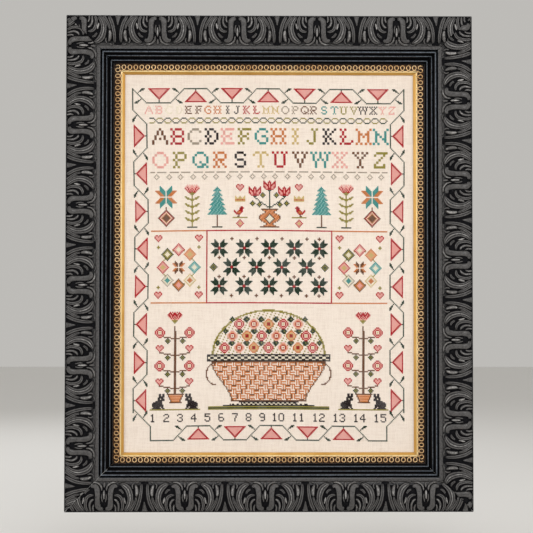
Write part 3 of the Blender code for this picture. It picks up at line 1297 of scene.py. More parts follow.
def loft(profile: Sequence[Place], length: float, gap: float) -> bpy.types.Mesh:
    """Make a mitred bar from a section.

    Args:
        profile: inwards, height, and wear and painted light, for each point of the closed section.
        length: outer length of the bar.
        gap: space left between two bars at a corner.

    Returns:
        The bar's mesh, in its own place, carrying the wear and painted light as an attribute.
    """
    model = bmesh.new()
    wear_and_painted_light = model.verts.layers.float.new("wear_and_painted_light")
    shorter = gap / math.sqrt(2)
    rings = []
    for end in (-1, 1):
        ring = []
        for inwards, height, wear_and_light in profile:
            vert = model.verts.new((end * (length / 2 - inwards - shorter), -height, -inwards))
            vert[wear_and_painted_light] = wear_and_light
            ring.append(vert)
        rings.append(ring)
    for index in range(len(profile)):
        after = (index + 1) % len(profile)
        model.faces.new((rings[0][index], rings[1][index], rings[1][after], rings[0][after]))
    for ring in rings:
        model.faces.new(ring)
    bmesh.ops.triangulate(model, faces=[face for face in model.faces if len(face.verts) > 4])
    bmesh.ops.recalc_face_normals(model, faces=model.faces[:])
    mesh = finished(model, "bar")
    mesh.shade_smooth()
    mesh.set_sharp_from_angle(angle=SMOOTH_ANGLE)
    return mesh


@dataclass
class Moulding:
    """Black moulding: a crowned band that carries the ornament, then a ridge, a hollow and a bead."""

    place: FramePlace
    gap: float = 0.3 * MM
    wall_height: float = 21.5 * MM
    carved_start: float = 1.2 * MM
    carved_end: float = 34.0 * MM
    carved_end_height: float = 24.0 * MM
    crest_height: float = 30.0 * MM
    crest_lean: float = 0.8
    ground_depth: float = 2.2 * MM
    ground_ease: float = 2.2 * MM
    ridge: Place = (39.5 * MM, 20.5 * MM, 1.3 * MM)
    bead: Place = (47.8 * MM, 13.4 * MM, 1.0 * MM)
    sight_edge: float = 50.8 * MM
    sight_height: float = 12.2 * MM
    rebate_edge: float = 44.0 * MM
    rebate_height: float = 10.3 * MM
    hump_steps: int = 40
    round_steps: int = 10
    carved: EbonisedWood = EbonisedWood()
    # On the plain moulding the pale cool grey is painted highlight: thin lines along the crests of the ridge,
    # the narrow step and the bead.
    plain: EbonisedWood = EbonisedWood(
        name="ebonised_wood", paint=srgb(11, 16, 23), worn_and_lit=srgb(112, 121, 132), painted_highlight=srgb(130, 134, 140))
    recess_shade: RecessBlack = RecessBlack()
    # Ground between the leaves: black as painted shade, a little lighter than in the grooves, with dust.
    ground_shade: RecessBlack = RecessBlack(name="ebonised_ground", black=srgb(17, 17, 20), dust=srgb(34, 33, 33))
    ground_wear: float = 0.62
    shade_fades_from: float = 29.5 * MM
    shade_fades_to: float = 31.5 * MM
    shade_below: float = 0.04
    band_edge: float = 36.8 * MM
    crest_highlight: float = 0.66
    round_fade: int = 4
    sight_bevel: float = 0.1 * MM
    sight_drop: float = 0.2 * MM
    edge_wear: float = 0.1

    # Inwards, how far below the wall's height, and wear and painted light: the rounded outer edge, lightly
    # worn
    outer_edge: Triples = ((0.0, 0.7, 0.2), (0.25, 0.1, 0.1), (0.8, 0.0, 0.0))
    # Inwards, height, and wear and painted light: flat band inside the ornament, then the groove's floor,
    # black as painted shade
    band: Triples = (
        (34.6, 24.1, 0.62), (36.2, 23.9, 0.66), (36.7, 23.4, 0.80), (37.0, 20.4, 0.05), (37.2, 19.9, 0.0),
        (37.9, 19.8, 0.0),
    )
    # Inwards, height, and wear and painted light: foot of the ridge, narrow step with a painted highlight on
    # its top, then the hollow down to the bead in painted shade
    step: Triples = (
        (41.0, 17.3, 0.0), (41.2, 17.0, 0.0), (42.3, 17.0, 0.0), (42.6, 17.4, 0.1), (43.0, 17.6, 0.60),
        (43.5, 17.6, 0.60), (44.0, 17.1, 0.1), (44.4, 15.7, 0.0), (45.3, 14.2, 0.0), (46.5, 13.1, 0.0),
    )
    # Inwards, height, and wear and painted light: from the bead to the sight edge, in painted shade
    lip: Triples = ((49.0, 12.5, 0.0), (49.2, 12.3, 0.0), (50.4, 12.4, 0.0))

    def surface(self, inwards: float) -> float:
        """Follow the crown that the ornament lies on.

        Args:
            inwards: distance from the outer edge.

        Returns:
            The ornament's mean height there.
        """
        share = min(max((inwards - self.carved_start) / (self.carved_end - self.carved_start), 0.0), 1.0)
        chord = self.wall_height + (self.carved_end_height - self.wall_height) * share
        crown = self.crest_height - (self.wall_height + self.carved_end_height) / 2
        return chord + crown * max(0.0, math.sin(math.pi * share ** self.crest_lean))

    def ground(self, inwards: float) -> float:
        """Return the height of the ground between the ornament's leaves."""
        from_edge = min(inwards - self.carved_start, self.carved_end - inwards)
        return self.surface(inwards) - self.ground_depth * smooth_step(from_edge / self.ground_ease)

    def profile(self) -> list[Place]:
        """Return the rail's section as inwards, height, and wear and painted light."""
        edge = in_metres(self.outer_edge)
        points = [(0.0, 0.0, edge[0][2])]
        points += [(inwards, self.wall_height - below, wear_and_light) for inwards, below, wear_and_light in edge]
        # The ground between the leaves is black as painted shade until it rises into the worn flat band.
        for step in range(self.hump_steps + 1):
            share = (1 - math.cos(math.pi * step / self.hump_steps)) / 2
            inwards = self.carved_start + (self.carved_end - self.carved_start) * share
            worn_and_lit = smooth_step((inwards - self.shade_fades_from) / (self.shade_fades_to - self.shade_fades_from))
            points.append((inwards, self.ground(inwards), self.ground_wear * worn_and_lit))
        points += in_metres(self.band)
        # The crests of the ridge and the bead carry a thin painted highlight line.
        for (centre, height, radius), beyond in ((self.ridge, self.step), (self.bead, self.lip)):
            for inwards, top in half_round(centre, height, radius, self.round_steps):
                points.append((inwards, top, self.crest_highlight * ((top - height) / radius) ** self.round_fade))
            points += in_metres(beyond)
        return points + [
            (self.sight_edge - self.sight_bevel, self.sight_height, self.edge_wear),
            (self.sight_edge, self.sight_height - self.sight_drop, self.edge_wear),
            (self.sight_edge, self.rebate_height, 0.0),
            (self.rebate_edge, self.rebate_height, 0.0),
            (self.rebate_edge, 0.0, self.edge_wear),
        ]

    def build(self) -> None:
        """Make the four rails in place of the frame's plain ones."""
        finishes = [finish.material() for finish in (self.plain, self.recess_shade, self.carved, self.ground_shade)]
        for side in Side:
            mesh = loft(self.profile(), self.place.length(side), self.gap)
            for material in finishes:
                mesh.materials.append(material)
            # Faces low in wear and painted light take a black of painted shade: in the grooves and hollow,
            # and on the ground beside the ornament.
            wear_and_light = mesh.attributes["wear_and_painted_light"].data
            for face in mesh.polygons:
                in_painted_shade = all(wear_and_light[index].value < self.shade_below for index in face.vertices)
                beside_ornament = -face.center.z < self.band_edge
                face.material_index = 2 * beside_ornament + in_painted_shade
            mesh.transform(self.place.matrix(side))
            add_piece("moulding_" + side.label, mesh, None, "ebonised_wood", "rail_" + side.label)
        Carving(self, *finishes[2:]).build()


@dataclass(frozen=True)
class Leaf:
    """One leaf of the ornament, in millimetres.

    Its path gives its place along, its place inwards and half its width, at places down its middle. Its ribs
    are parted by grooves, its tip is the share of its length that tapers, and its rim stands round a hollow.
    """

    path: Triples
    height: float
    ribs: int = 1
    tip: float = 0.18
    # Wear and painted light: at 0 the leaf is all painted shade, and above about 1.1 it carries painted
    # highlights.
    wear_and_light: float = 1.0
    rim: float = 0.0

    def central(self) -> bool:
        """Return whether the leaf runs straight down a mirror line."""
        return all(along == self.path[0][0] for along, _, _ in self.path)


@dataclass
class Carving:
    """Leaf ornament: a spray and a palmette in turn, mirrored about each, cut off at the mitres."""

    rail: Moulding
    carved: bpy.types.Material
    recess_shade: bpy.types.Material
    period: float = 85.7 * MM
    segments: int = 18
    rib_sides: int = 4
    plain_sides: int = 8
    sunk: float = 0.5 * MM
    shade_below: float = 0.30
    roundness: float = 0.42
    groove: float = 0.40
    groove_shade: float = 0.92
    hollow_half: float = 0.7
    hollow: float = 0.12
    hollow_shade: float = 0.4
    look_aside: float = 0.01
    tip_width: float = 0.25
    tip_height: float = 0.1
    tip_wear_and_light: float = 0.3

    # Where a spray's middle lies along each rail, from the rail's own middle
    phases: dict[Side, float] = field(default_factory=lambda: {
        Side.TOP: 8.2 * MM, Side.RIGHT: 40.0 * MM, Side.BOTTOM: -38.5 * MM, Side.LEFT: 18.5 * MM})

    def spray(self) -> list[Leaf]:
        """Return the leaves of half a spray, from its middle outwards."""
        return [
            # The first leaf is a low black patch in the spray's middle: painted shade, a hole in the
            # ornament.
            Leaf(((0.0, 33.0, 3.4), (0.0, 31.4, 5.2), (0.0, 29.0, 2.2)), 0.5, wear_and_light=0.0),
            Leaf(((0.0, 0.9, 4.2), (0.0, 5.5, 2.7), (0.0, 12.5, 0.6)), 1.5, tip=0.1, wear_and_light=0.75, rim=0.3),
            Leaf(((3.3, 31.2, 1.7), (3.4, 23.7, 2.2), (4.4, 16.2, 2.4), (6.6, 8.7, 2.6), (10.2, 0.9, 2.5)),
                 2.9, 2),
            Leaf(((10.0, 29.8, 1.0), (8.4, 26.0, 2.1), (7.9, 21.4, 2.2), (8.6, 17.4, 1.2)), 2.9, wear_and_light=1.06),
            Leaf(((8.2, 17.6, 1.3), (9.5, 11.9, 1.7), (12.4, 6.5, 2.2), (16.1, 0.9, 2.6)), 2.5, 2),
            Leaf(((5.6, 32.6, 0.8), (7.4, 32.2, 1.0), (9.2, 31.2, 0.7)), 1.8, wear_and_light=0.85),
        ]

    def curl(self) -> list[Leaf]:
        """Return the curled leaves between a spray and a palmette."""
        return [
            Leaf(((26.6, 30.2, 0.9), (22.4, 29.4, 2.9), (17.5, 25.4, 4.1), (15.1, 18.9, 3.8),
                  (15.1, 13.0, 3.4), (17.4, 6.5, 3.2), (21.4, 0.9, 3.1)), 2.9, 3, wear_and_light=1.12),
            Leaf(((21.6, 17.0, 0.6), (20.9, 13.4, 1.5), (19.9, 9.6, 0.7)), 2.6, wear_and_light=1.15),
            Leaf(((32.4, 18.8, 0.9), (28.4, 19.0, 1.8), (24.7, 16.4, 2.2), (23.2, 10.9, 2.1),
                  (23.3, 5.5, 2.0), (25.4, 0.9, 1.9)), 2.8, 2, wear_and_light=1.08),
            Leaf(((32.2, 14.6, 0.8), (29.6, 13.4, 1.4), (27.4, 8.7, 1.4), (28.1, 0.9, 1.3)), 2.3),
            Leaf(((32.0, 9.0, 0.7), (30.8, 5.5, 1.2), (31.2, 0.9, 1.0)), 2.0),
            Leaf(((27.6, 24.8, 0.8), (24.6, 23.8, 1.5), (22.0, 20.4, 1.2)), 2.2, 2),
            Leaf(((11.4, 31.4, 0.7), (13.0, 28.8, 1.1), (12.2, 25.4, 0.8)), 2.0, wear_and_light=0.8),
            Leaf(((11.6, 14.6, 0.5), (11.8, 11.4, 0.9), (13.2, 8.2, 0.5)), 1.6, wear_and_light=0.7),
            Leaf(((22.4, 32.4, 0.6), (25.6, 32.6, 0.9), (28.4, 31.6, 0.6)), 1.8, wear_and_light=0.8),
        ]

    def palmette(self) -> list[Leaf]:
        """Return the leaves of half a palmette, up to its middle."""
        return [
            Leaf(((28.6, 26.6, 1.3), (31.4, 28.6, 2.6), (35.0, 26.4, 3.5), (36.0, 19.4, 3.2),
                  (35.9, 13.0, 3.2), (36.2, 7.6, 3.7), (38.2, 4.4, 3.2), (42.3, 5.0, 1.9)),
                 2.6, tip=0.08, wear_and_light=0.94, rim=0.75),
            Leaf(((29.4, 32.0, 0.8), (35.0, 31.8, 1.3), (39.4, 28.6, 1.3), (40.4, 23.4, 0.8)), 2.4),
            Leaf(((33.4, 1.4, 0.7), (36.4, 1.0, 0.6), (39.8, 1.4, 0.6), (42.85, 2.0, 0.5)),
                 1.6, tip=0.1, wear_and_light=0.75),
            Leaf(((42.85, 32.4, 1.0), (42.85, 29.6, 1.5), (42.85, 26.8, 0.7)), 2.0, wear_and_light=0.9),
            Leaf(((42.85, 24.6, 0.6), (42.85, 21.4, 1.5), (42.85, 17.6, 1.3), (42.85, 14.4, 0.5)),
                 2.6, wear_and_light=1.15),
            Leaf(((40.7, 20.6, 0.5), (40.4, 16.4, 0.9), (41.4, 11.6, 0.6)), 2.0, wear_and_light=0.9),
        ]

    def section(self, leaf: Leaf, across: float) -> tuple[float, float]:
        """Shape a leaf across its width.

        Args:
            leaf: the leaf.
            across: place across it, from -1 to 1.

        Returns:
            Its share of its height, and its wear and painted light there, which falls to painted shade at its
            edges, in the grooves between its ribs and in its hollow.
        """
        rounded = (1 - across * across) ** self.roundness
        wave = 0.5 + 0.5 * math.cos(math.pi * leaf.ribs * (across + 1))
        between = wave * wave if leaf.ribs > 1 else 0.0
        middle = max(0.0, 1 - (across / self.hollow_half) ** 2) * leaf.rim
        return (rounded * (1 - self.groove * between) * (1 - self.hollow * middle),
                rounded * leaf.wear_and_light * (1 - self.groove_shade * between) * (1 - self.hollow_shade * middle))

    def add_leaf(self, model: bmesh.types.BMesh, leaf: Leaf, mirror: int) -> None:
        """Add one closed leaf that follows the moulding's surface.

        Args:
            model: mesh of the repeat.
            leaf: the leaf.
            mirror: 1 or -1, the side of the spray's middle.
        """
        wear_and_painted_light = model.verts.layers.float["wear_and_painted_light"]
        sides = self.rib_sides * leaf.ribs if leaf.ribs > 1 else self.plain_sides
        rings = []
        for step in range(self.segments + 1):
            share = step / self.segments
            along, inwards, half = catmull_rom(leaf.path, share)
            near = catmull_rom(leaf.path, share - self.look_aside)
            far = catmull_rom(leaf.path, share + self.look_aside)
            heading = Vector((far[0] - near[0], far[1] - near[1])).normalized()
            sideways = Vector((-heading.y, heading.x))
            from_end = min(share, 1 - share) / leaf.tip
            swell = math.sqrt(max(0.0, 1 - (1 - min(from_end, 1.0)) ** 2))
            # Towards its tips a leaf narrows, lowers and goes darker.
            wide, high, worn_and_lit = (
                least + (1 - least) * swell for least in (self.tip_width, self.tip_height, self.tip_wear_and_light))
            ring = []
            for index in range(sides + 1):
                across = -1 + 2 * index / sides
                place = Vector((along, inwards)) + sideways * (half * wide * across)
                depth = min(max(place.y * MM, self.rail.carved_start), self.rail.carved_end)
                crown, wear_and_light = self.section(leaf, across)
                sink = self.sunk if abs(across) == 1 else 0.0
                height = self.rail.ground(depth) + leaf.height * MM * crown * high - sink
                vert = model.verts.new((mirror * place.x * MM, -height, -depth))
                vert[wear_and_painted_light] = wear_and_light * worn_and_lit
                ring.append(vert)
            rings.append(ring)
        for first, second in zip(rings, rings[1:]):
            for index in range(sides + 1):
                after = (index + 1) % (sides + 1)
                model.faces.new((first[index], first[after], second[after], second[index]))
        model.faces.new(rings[0])
        model.faces.new(list(reversed(rings[-1])))

    def repeat(self) -> bpy.types.Mesh:
        """Return the mesh of one whole repeat, a spray in its middle."""
        model = bmesh.new()
        model.verts.layers.float.new("wear_and_painted_light")
        for leaf in self.spray() + self.curl() + self.palmette():
            for mirror in (1,) if leaf.central() else (1, -1):
                self.add_leaf(model, leaf, mirror)
        bmesh.ops.recalc_face_normals(model, faces=model.faces[:])
        return finished(model, "repeat")

    def tree(self) -> GeometryTree:
        """Return the tree that sets repeats along a rail."""
        tree = GeometryTree("ornament_repeats")
        count = tree.value("Count", "Int")
        start = tree.value("Start")
        spacing = tree.value("Spacing")
        material = tree.value("Material", "Material")
        inputs = {"Count": count, "Start Location": tree.vector(start), "Offset": tree.vector(spacing)}
        line = tree.add("GeometryNodeMeshLine", {"mode": "OFFSET"}, inputs).outputs["Mesh"]
        spots = {"Points": line, "Instance": tree.entry.outputs["Geometry"]}
        copies = tree.add("GeometryNodeInstanceOnPoints", inputs=spots).outputs["Instances"]
        tree.finish(copies, material)
        return tree

    def build(self) -> None:
        """Make the ornament of the four rails."""
        tree = self.tree()
        for side in Side:
            length = self.rail.place.length(side)
            count = math.ceil(length / self.period) + 2
            first = self.phases[side] - self.period * (count // 2)
            values = {"Count": count, "Start": first, "Spacing": self.period, "Material": self.carved}
            mesh = tree.bake(self.repeat(), values)
            model = bmesh.new()
            model.from_mesh(mesh)
            cut_mitres(model, length, self.rail.gap)
            model.to_mesh(mesh)
            model.free()
            mesh.materials.clear()
            mesh.materials.append(self.carved)
            mesh.materials.append(self.recess_shade)
            # Faces low in wear and painted light take the ground black: painted shade at the leaves' feet,
            # between their ribs and in the holes.
            wear_and_light = mesh.attributes["wear_and_painted_light"].data
            for face in mesh.polygons:
                mean = sum(wear_and_light[index].value for index in face.vertices) / len(face.vertices)
                face.material_index = int(mean < self.shade_below)
            mesh.transform(self.rail.place.matrix(side))
            add_piece("ornament_" + side.label, mesh, None, "ebonised_wood")


@dataclass
class Slip:
    """Gilded slip: loops of gilt wire on a black flat, then a bead and a slope down to the cloth."""

    place: FramePlace
    gap: float = 0.3 * MM
    start: float = 44.3 * MM
    bead: Place = (59.2 * MM, 10.0 * MM, 0.6 * MM)
    sight: float = 62.4 * MM
    back_height: float = 7.0 * MM
    toe_height: float = 7.7 * MM
    loop_pitch: float = 6.44 * MM
    loop_middle: float = 55.3 * MM
    loop_across: float = 3.1 * MM
    loop_along: float = 3.55 * MM
    wire_radius: float = 0.60 * MM
    wire_points: int = 18
    wire_sides: int = 5
    wire_sway: float = 0.35
    wire_sunk: float = 0.45
    round_steps: int = 10
    flat_edge: float = 0.05 * MM
    slope_start: float = 0.15 * MM
    slope_drop: float = 0.1 * MM
    black_edge: float = 0.02 * MM
    gilding: Gilding = Gilding()
    wire: Gilding = Gilding(
        name="gilt_wire", light=(0.92, 0.66, 0.36), deep=(0.62, 0.36, 0.15), gloss=0.28, metal=0.8)
    lacquer: BlackLacquer = BlackLacquer()

    def profile(self) -> list[Place]:
        """Return the slip's section as inwards, height, and painted highlight, which lies on the bead's top.
        """
        centre, height, radius = self.bead
        # Painted highlight on the bead's top, which the gilding turns pale.
        rounded = [(inwards, top, ((top - height) / radius) ** 2)
                   for inwards, top in half_round(centre, height, radius, self.round_steps)]
        return [
            (self.start, self.back_height, 0.0),
            (self.start, height, 0.0),
            (centre - radius - self.flat_edge, height, 0.0),
            *rounded,
            (centre + radius + self.slope_start, height - self.slope_drop, 0.0),
            (self.sight, self.toe_height, 0.0),
            (self.sight, self.back_height, 0.0),
        ]

    def build(self) -> None:
        """Make the four slips and their loops."""
        gold, wire, black = self.gilding.material(), self.wire.material(), self.lacquer.material()
        tree = self.tree()
        flat_end = self.bead[0] - self.bead[2] - self.black_edge
        for side in Side:
            mesh = loft(self.profile(), self.place.length(side), self.gap)
            mesh.materials.append(gold)
            mesh.materials.append(black)
            for face in mesh.polygons:
                face.material_index = int(-face.center.z < flat_end)
            mesh.transform(self.place.matrix(side))
            add_piece("slip_" + side.label, mesh, None, "gilding", "fillet_" + side.label)
            self.loops(tree, side, wire)

    def tree(self) -> GeometryTree:
        """Return the tree that bends a straight line into a row of loops and makes it a wire."""
        tree = GeometryTree("gilt_loops")
        length, pitch, along, across, radius = (
            tree.value(name) for name in ("Length", "Pitch", "Along", "Across", "Wire Radius"))
        points, sides = (tree.value(name, "Int") for name in ("Points", "Wire Sides"))
        material = tree.value("Material", "Material")
        half = tree.math("MULTIPLY", length, 0.5)
        ends = {"Start": tree.vector(tree.math("MULTIPLY", half, -1.0)), "End": tree.vector(half)}
        line = tree.add("GeometryNodeCurvePrimitiveLine", inputs=ends).outputs["Curve"]
        fine = tree.add("GeometryNodeResampleCurve", inputs={"Curve": line, "Count": points}).outputs["Curve"]
        position = tree.add("GeometryNodeInputPosition").outputs["Position"]
        place = tree.add("ShaderNodeSeparateXYZ", inputs={"Vector": position}).outputs["X"]
        angle = tree.math("MULTIPLY", tree.math("DIVIDE", place, pitch), math.tau)
        sine, cosine = tree.math("SINE", angle), tree.math("COSINE", angle)
        lift = tree.math("MULTIPLY", sine, tree.math("MULTIPLY", radius, -self.wire_sway))
        down = tree.math("MULTIPLY", tree.math("MULTIPLY", cosine, across), -1.0)
        inputs = {"Geometry": fine, "Offset": tree.vector(tree.math("MULTIPLY", sine, along), lift, down)}
        bent = tree.add("GeometryNodeSetPosition", inputs=inputs).outputs["Geometry"]
        ring = {"Resolution": sides, "Radius": radius}
        section = tree.add("GeometryNodeCurvePrimitiveCircle", inputs=ring).outputs["Curve"]
        wire = {"Curve": bent, "Profile Curve": section, "Fill Caps": True}
        tree.finish(tree.add("GeometryNodeCurveToMesh", inputs=wire).outputs["Mesh"], material)
        return tree

    def loops(self, tree: GeometryTree, side: Side, material: bpy.types.Material) -> None:
        """Make one row of loops, mitred with its slip.

        Args:
            tree: the tree that makes loops.
            side: side of the frame.
            material: the wire's.
        """
        length = self.place.length(side)
        inner = length - 2 * (self.loop_middle - self.loop_across)
        count = round(inner / self.loop_pitch) + 1
        lift = -self.bead[1] - self.wire_radius * self.wire_sunk
        values = {
            "Length": count * self.loop_pitch, "Points": count * self.wire_points + 1,
            "Pitch": self.loop_pitch, "Along": self.loop_along, "Across": self.loop_across,
            "Wire Radius": self.wire_radius, "Wire Sides": self.wire_sides, "Material": material,
        }
        mesh = tree.bake(mesh_of_points("start", [(0.0, 0.0, 0.0)]), values)
        model = bmesh.new()
        model.from_mesh(mesh)
        bmesh.ops.remove_doubles(model, verts=model.verts, dist=WELD_DISTANCE)
        bmesh.ops.translate(model, verts=model.verts, vec=(0.0, lift, -self.loop_middle))
        cut_mitres(model, length, self.gap)
        bmesh.ops.recalc_face_normals(model, faces=model.faces[:])
        model.to_mesh(mesh)
        model.free()
        mesh.transform(self.place.matrix(side))
        add_piece("gilt_loops_" + side.label, mesh, material, "gilding")


@dataclass
class Sampler:
    """Stretched linen and the stitches worked on it."""

    place: FramePlace
    thickness: float = 1.0 * MM
    front: float = 6.7 * MM
    swell: float = 0.8 * MM
    face: float = 4.0 * MM
    pitch_across: float = 1.24 * MM
    pitch_up: float = 1.279 * MM
    centre_across: float = -0.6 * MM
    centre_up: float = -1.15 * MM
    leg_width: float = 0.98 * MM
    leg_height: float = 0.32 * MM
    leg_overreach: float = 1.16
    pull_from: float = 0.45
    pull_left: float = 2.2 * MM
    pull_right: float = -1.2 * MM
    leg_round: float = 0.58
    leg_turn: float = math.radians(30)
    leg_rises: tuple[float, float] = (0.25, 0.6)
    most_turned: float = 0.07
    turn_seed: int = 11
    sizes: tuple[float, float] = (0.93, 1.05)
    size_seed: int = 23
    wander: float = 0.45 * MM
    fine_wander: float = 0.25 * MM
    cloth: LinenCloth = LinenCloth()

    # Half waves across and up, phases, and share of the swell
    waves: tuple[tuple[float, float, float, float, float], ...] = (
        (1.0, 1.0, 0.0, 0.0, 0.45), (2.0, 1.5, 0.7, 1.9, 0.30), (3.5, 2.5, 2.1, 0.4, 0.25))

    def __post_init__(self) -> None:
        """Read half the cloth's width and height from the frame."""
        low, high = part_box("linen")
        self.half: Point = ((high.x - low.x) / 2, (high.z - low.z) / 2)

    def lift(self, across: float, up: float) -> float:
        """Follow the swell of the cloth.

        Args:
            across: place across, from the frame's middle.
            up: place up, from the frame's middle.

        Returns:
            The height of its front there.
        """
        half_across, half_up = self.half
        share_x, share_z = across / half_across, up / half_up
        total = 0.0
        for waves_x, waves_z, phase_x, phase_z, share in self.waves:
            wave_x = math.cos(math.pi / 2 * waves_x * share_x + phase_x)
            wave_z = math.cos(math.pi / 2 * waves_z * share_z + phase_z)
            total += share * (1 + wave_x * wave_z) / 2
        return self.front + self.swell * total * (1 - share_x ** 4) * (1 - share_z ** 4)

    def drift(self, across: float, up: float) -> Point:
        """Follow the weave, which wanders and is drawn in towards the foot.

        Args:
            across: place across, from the frame's middle.
            up: place up, from the frame's middle.

        Returns:
            How far across and up it has moved there.
        """
        down = smooth_step((0.5 - up / (2 * self.half[1])) / self.pull_from)
        from_left = 0.5 + across / (2 * self.half[0])
        pull = down * (self.pull_left + (self.pull_right - self.pull_left) * from_left)
        wander_x = self.wander * math.sin(up * 19.0 + 0.6)
        wander_z = self.wander * math.sin(across * 21.0 + 1.9)
        fine_x = self.fine_wander * math.sin(across * 31.0 + up * 23.0)
        fine_z = self.fine_wander * math.sin(up * 29.0 - across * 17.0)
        return pull + wander_x + fine_x, wander_z + fine_z

    def linen(self) -> None:
        """Make the sheet of linen in place of the frame's plain one."""
        half_across, half_up = self.half
        columns, rows = round(2 * half_across / self.face), round(2 * half_up / self.face)
        model = bmesh.new()
        bmesh.ops.create_grid(model, x_segments=columns, y_segments=rows, size=1.0)
        middle = self.place.middle
        for vert in model.verts:
            across, up = vert.co.x * half_across, vert.co.y * half_up
            vert.co = Vector((middle.x + across, -self.lift(across, up), middle.z + up))
        bmesh.ops.recalc_face_normals(model, faces=model.faces[:])
        if sum(face.normal.y for face in model.faces) > 0:
            bmesh.ops.reverse_faces(model, faces=model.faces[:])
        mesh = finished(model, "linen_sheet")
        mesh.shade_smooth()
        piece = add_piece("linen_sheet", mesh, self.cloth.material(), "linen", "linen")
        solid = piece.modifiers.new("thickness", "SOLIDIFY")
        solid.thickness = self.thickness
        solid.offset = -1.0

    def spots(self, chart: Chart, thread: Thread) -> list[Place]:
        """Find the stitches of one thread.

        Args:
            chart: the finished chart.
            thread: the thread.

        Returns:
            Their places on the cloth.
        """
        found = []
        middle = self.place.middle
        for (column, row), used in sorted(chart.cells.items(), key=lambda item: item[0]):
            if used is not thread:
                continue
            across = self.centre_across + (column - (chart.columns - 1) / 2) * self.pitch_across
            up = self.centre_up - (row - (chart.rows - 1) / 2) * self.pitch_up
            drift_x, drift_z = self.drift(across, up)
            across, up = across + drift_x, up + drift_z
            found.append((middle.x + across, -self.lift(across, up), middle.z + up))
        return found

    def tree(self) -> GeometryTree:
        """Return the tree that works a cross stitch, two crossed legs, at each point."""
        tree = GeometryTree("cross_stitches")
        across, up, width, height = (
            tree.value(name) for name in ("Stitch Width", "Stitch Height", "Leg Width", "Leg Height"))
        material = tree.value("Material", "Material")
        square = tree.math("ADD", tree.math("MULTIPLY", across, across), tree.math("MULTIPLY", up, up))
        half = tree.math("MULTIPLY", tree.math("SQRT", square), 0.5)
        tilt = tree.math("ARCTAN2", across, up)
        ball = tree.add("GeometryNodeMeshUVSphere", inputs={"Segments": 3, "Rings": 3, "Radius": 1.0})
        ridge_up = tree.moved(ball.outputs["Mesh"], rotation=(0.0, 0.0, self.leg_turn))
        half_width = tree.math("MULTIPLY", width, self.leg_round)
        leg = tree.moved(ridge_up, scale=tree.vector(half_width, height, half))
        join = tree.tree.nodes.new("GeometryNodeJoinGeometry")
        for sign, rise in zip((1.0, -1.0), self.leg_rises):
            lifted = tree.vector(0.0, tree.math("MULTIPLY", height, -rise), 0.0)
            turned = tree.vector(0.0, tree.math("MULTIPLY", tilt, sign), 0.0)
            made = tree.moved(leg, rotation=turned, translation=lifted)
            tree.tree.links.new(made, join.inputs["Geometry"])
        turn = tree.random(-self.most_turned, self.most_turned, self.turn_seed)
        size = tree.random(*self.sizes, self.size_seed)
        inputs = {
            "Points": tree.entry.outputs["Geometry"], "Instance": join.outputs["Geometry"],
            "Rotation": tree.vector(0.0, turn, 0.0), "Scale": tree.vector(size, size, size),
        }
        tree.finish(tree.add("GeometryNodeInstanceOnPoints", inputs=inputs).outputs["Instances"], material)
        return tree

    def stitches(self, chart: Chart) -> None:
        """Work the chart, one piece for each thread."""
        tree = self.tree()
        for thread in Thread:
            places = self.spots(chart, thread)
            if not places:
                continue
            material = Floss("floss_" + thread.label, thread.colour).material()
            values = {
                "Stitch Width": self.pitch_across * self.leg_overreach,
                "Stitch Height": self.pitch_up * self.leg_overreach,
                "Leg Width": self.leg_width, "Leg Height": self.leg_height, "Material": material,
            }
            mesh = tree.bake(mesh_of_points("spots", places), values)
            add_piece("stitches_" + thread.label, mesh, material, "linen")
            log.info("%s: %d stitches", thread.label, len(places))

    def build(self, chart: Chart) -> None:
        """Make the linen and its stitches."""
        self.linen()
        self.stitches(chart)


@dataclass
class Backing:
    """Board that the linen is stretched over."""

    finish: HardBoard = HardBoard()

    def build(self) -> None:
        """Dress the frame's board."""
        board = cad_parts["mount_board"]
        board.data.materials.clear()
        board.data.materials.append(self.finish.material())


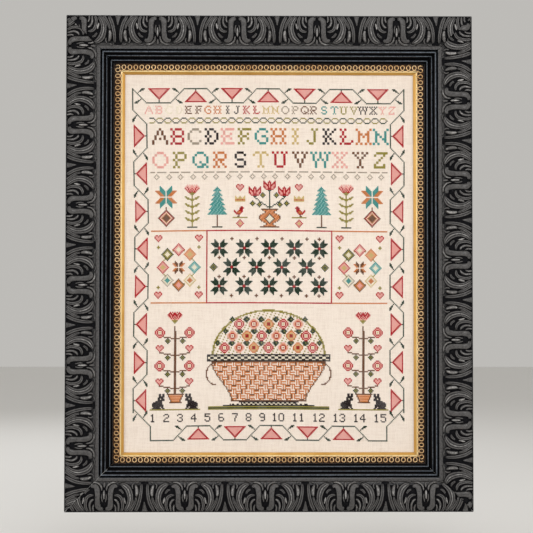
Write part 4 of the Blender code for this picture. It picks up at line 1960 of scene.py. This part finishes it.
@dataclass
class Studio:
    """Pale floor, soft lights and the camera."""

    place: FramePlace
    floor_drop: float = 0.06
    floor_size: float = 12.0
    floor_colour: Colour = (0.82, 0.81, 0.79)
    floor_matt: float = 0.8
    sky: Colour = (0.88, 0.86, 0.82)
    sky_strength: float = 0.58
    camera_at: Place = (-0.02502, -1.6, -0.30049)
    camera_pitch: float = 91.857
    camera_roll: float = -0.038
    camera_yaw: float = -0.798
    lens: float = 99.3
    sensor: float = 36.0

    # Name, place, size and power of each soft light
    lamps: tuple[tuple[str, Place, float, float], ...] = (
        ("key", (0.2, -1.6, 0.9), 0.9, 6.5),
        ("front", (0.1, -2.3, 0.0), 0.7, 5.0),
        ("above", (0.0, -0.4, 1.5), 0.9, 4.5),
        ("left", (-1.7, -1.1, 0.1), 0.7, 9.0),
        ("right", (1.7, -1.1, 0.1), 0.7, 9.0),
        ("back", (-0.6, 1.6, 0.9), 1.4, 8.0),
    )

    def floor(self) -> None:
        """Make the plain pale floor below the frame."""
        build = ShaderBuilder("studio_floor", self.floor_matt)
        build.shader.inputs["Base Color"].default_value = (*self.floor_colour, 1.0)
        model = bmesh.new()
        bmesh.ops.create_grid(model, x_segments=1, y_segments=1, size=self.floor_size / 2)
        bmesh.ops.translate(model, verts=model.verts, vec=(0.0, 0.0, self.place.low.z - self.floor_drop))
        mesh = finished(model, "floor")
        mesh.materials.append(build.material)
        floor = bpy.data.objects.new("floor", mesh)
        bpy.context.scene.collection.objects.link(floor)

    def world(self) -> None:
        """Light the scene softly from all round."""
        world = bpy.data.worlds.new("studio")
        world.use_nodes = True
        background = world.node_tree.nodes["Background"]
        background.inputs["Color"].default_value = (*self.sky, 1.0)
        background.inputs["Strength"].default_value = self.sky_strength
        bpy.context.scene.world = world

    def lights(self) -> None:
        """Make the soft lights, each facing the frame's middle."""
        for name, at, size, power in self.lamps:
            lamp = bpy.data.lights.new(name, "AREA")
            lamp.shape = "DISK"
            lamp.size = size
            lamp.energy = power
            light = bpy.data.objects.new(name, lamp)
            light.location = at
            light.rotation_euler = (self.place.middle - Vector(at)).to_track_quat("-Z", "Y").to_euler()
            bpy.context.scene.collection.objects.link(light)

    def camera(self) -> None:
        """Make the camera at the photograph's angle."""
        data = bpy.data.cameras.new("camera")
        data.lens = self.lens
        data.sensor_width = self.sensor
        camera = bpy.data.objects.new("camera", data)
        camera.location = self.camera_at
        angles = (self.camera_pitch, self.camera_roll, self.camera_yaw)
        camera.rotation_euler = [math.radians(angle) for angle in angles]
        bpy.context.scene.collection.objects.link(camera)
        bpy.context.scene.camera = camera

    def build(self) -> None:
        """Make everything around the object."""
        self.floor()
        self.world()
        self.lights()
        self.camera()
        bpy.context.scene.view_settings.view_transform = "Standard"


def main() -> None:
    """Build the looks in order, logging the size of each piece."""
    logging.basicConfig(level=logging.INFO, format="%(message)s")
    place = FramePlace.read()
    Studio(place).build()
    Moulding(place).build()
    Slip(place).build()
    Backing().build()
    Sampler(place).build(Design().work())


if __name__ == "__main__":
    main()
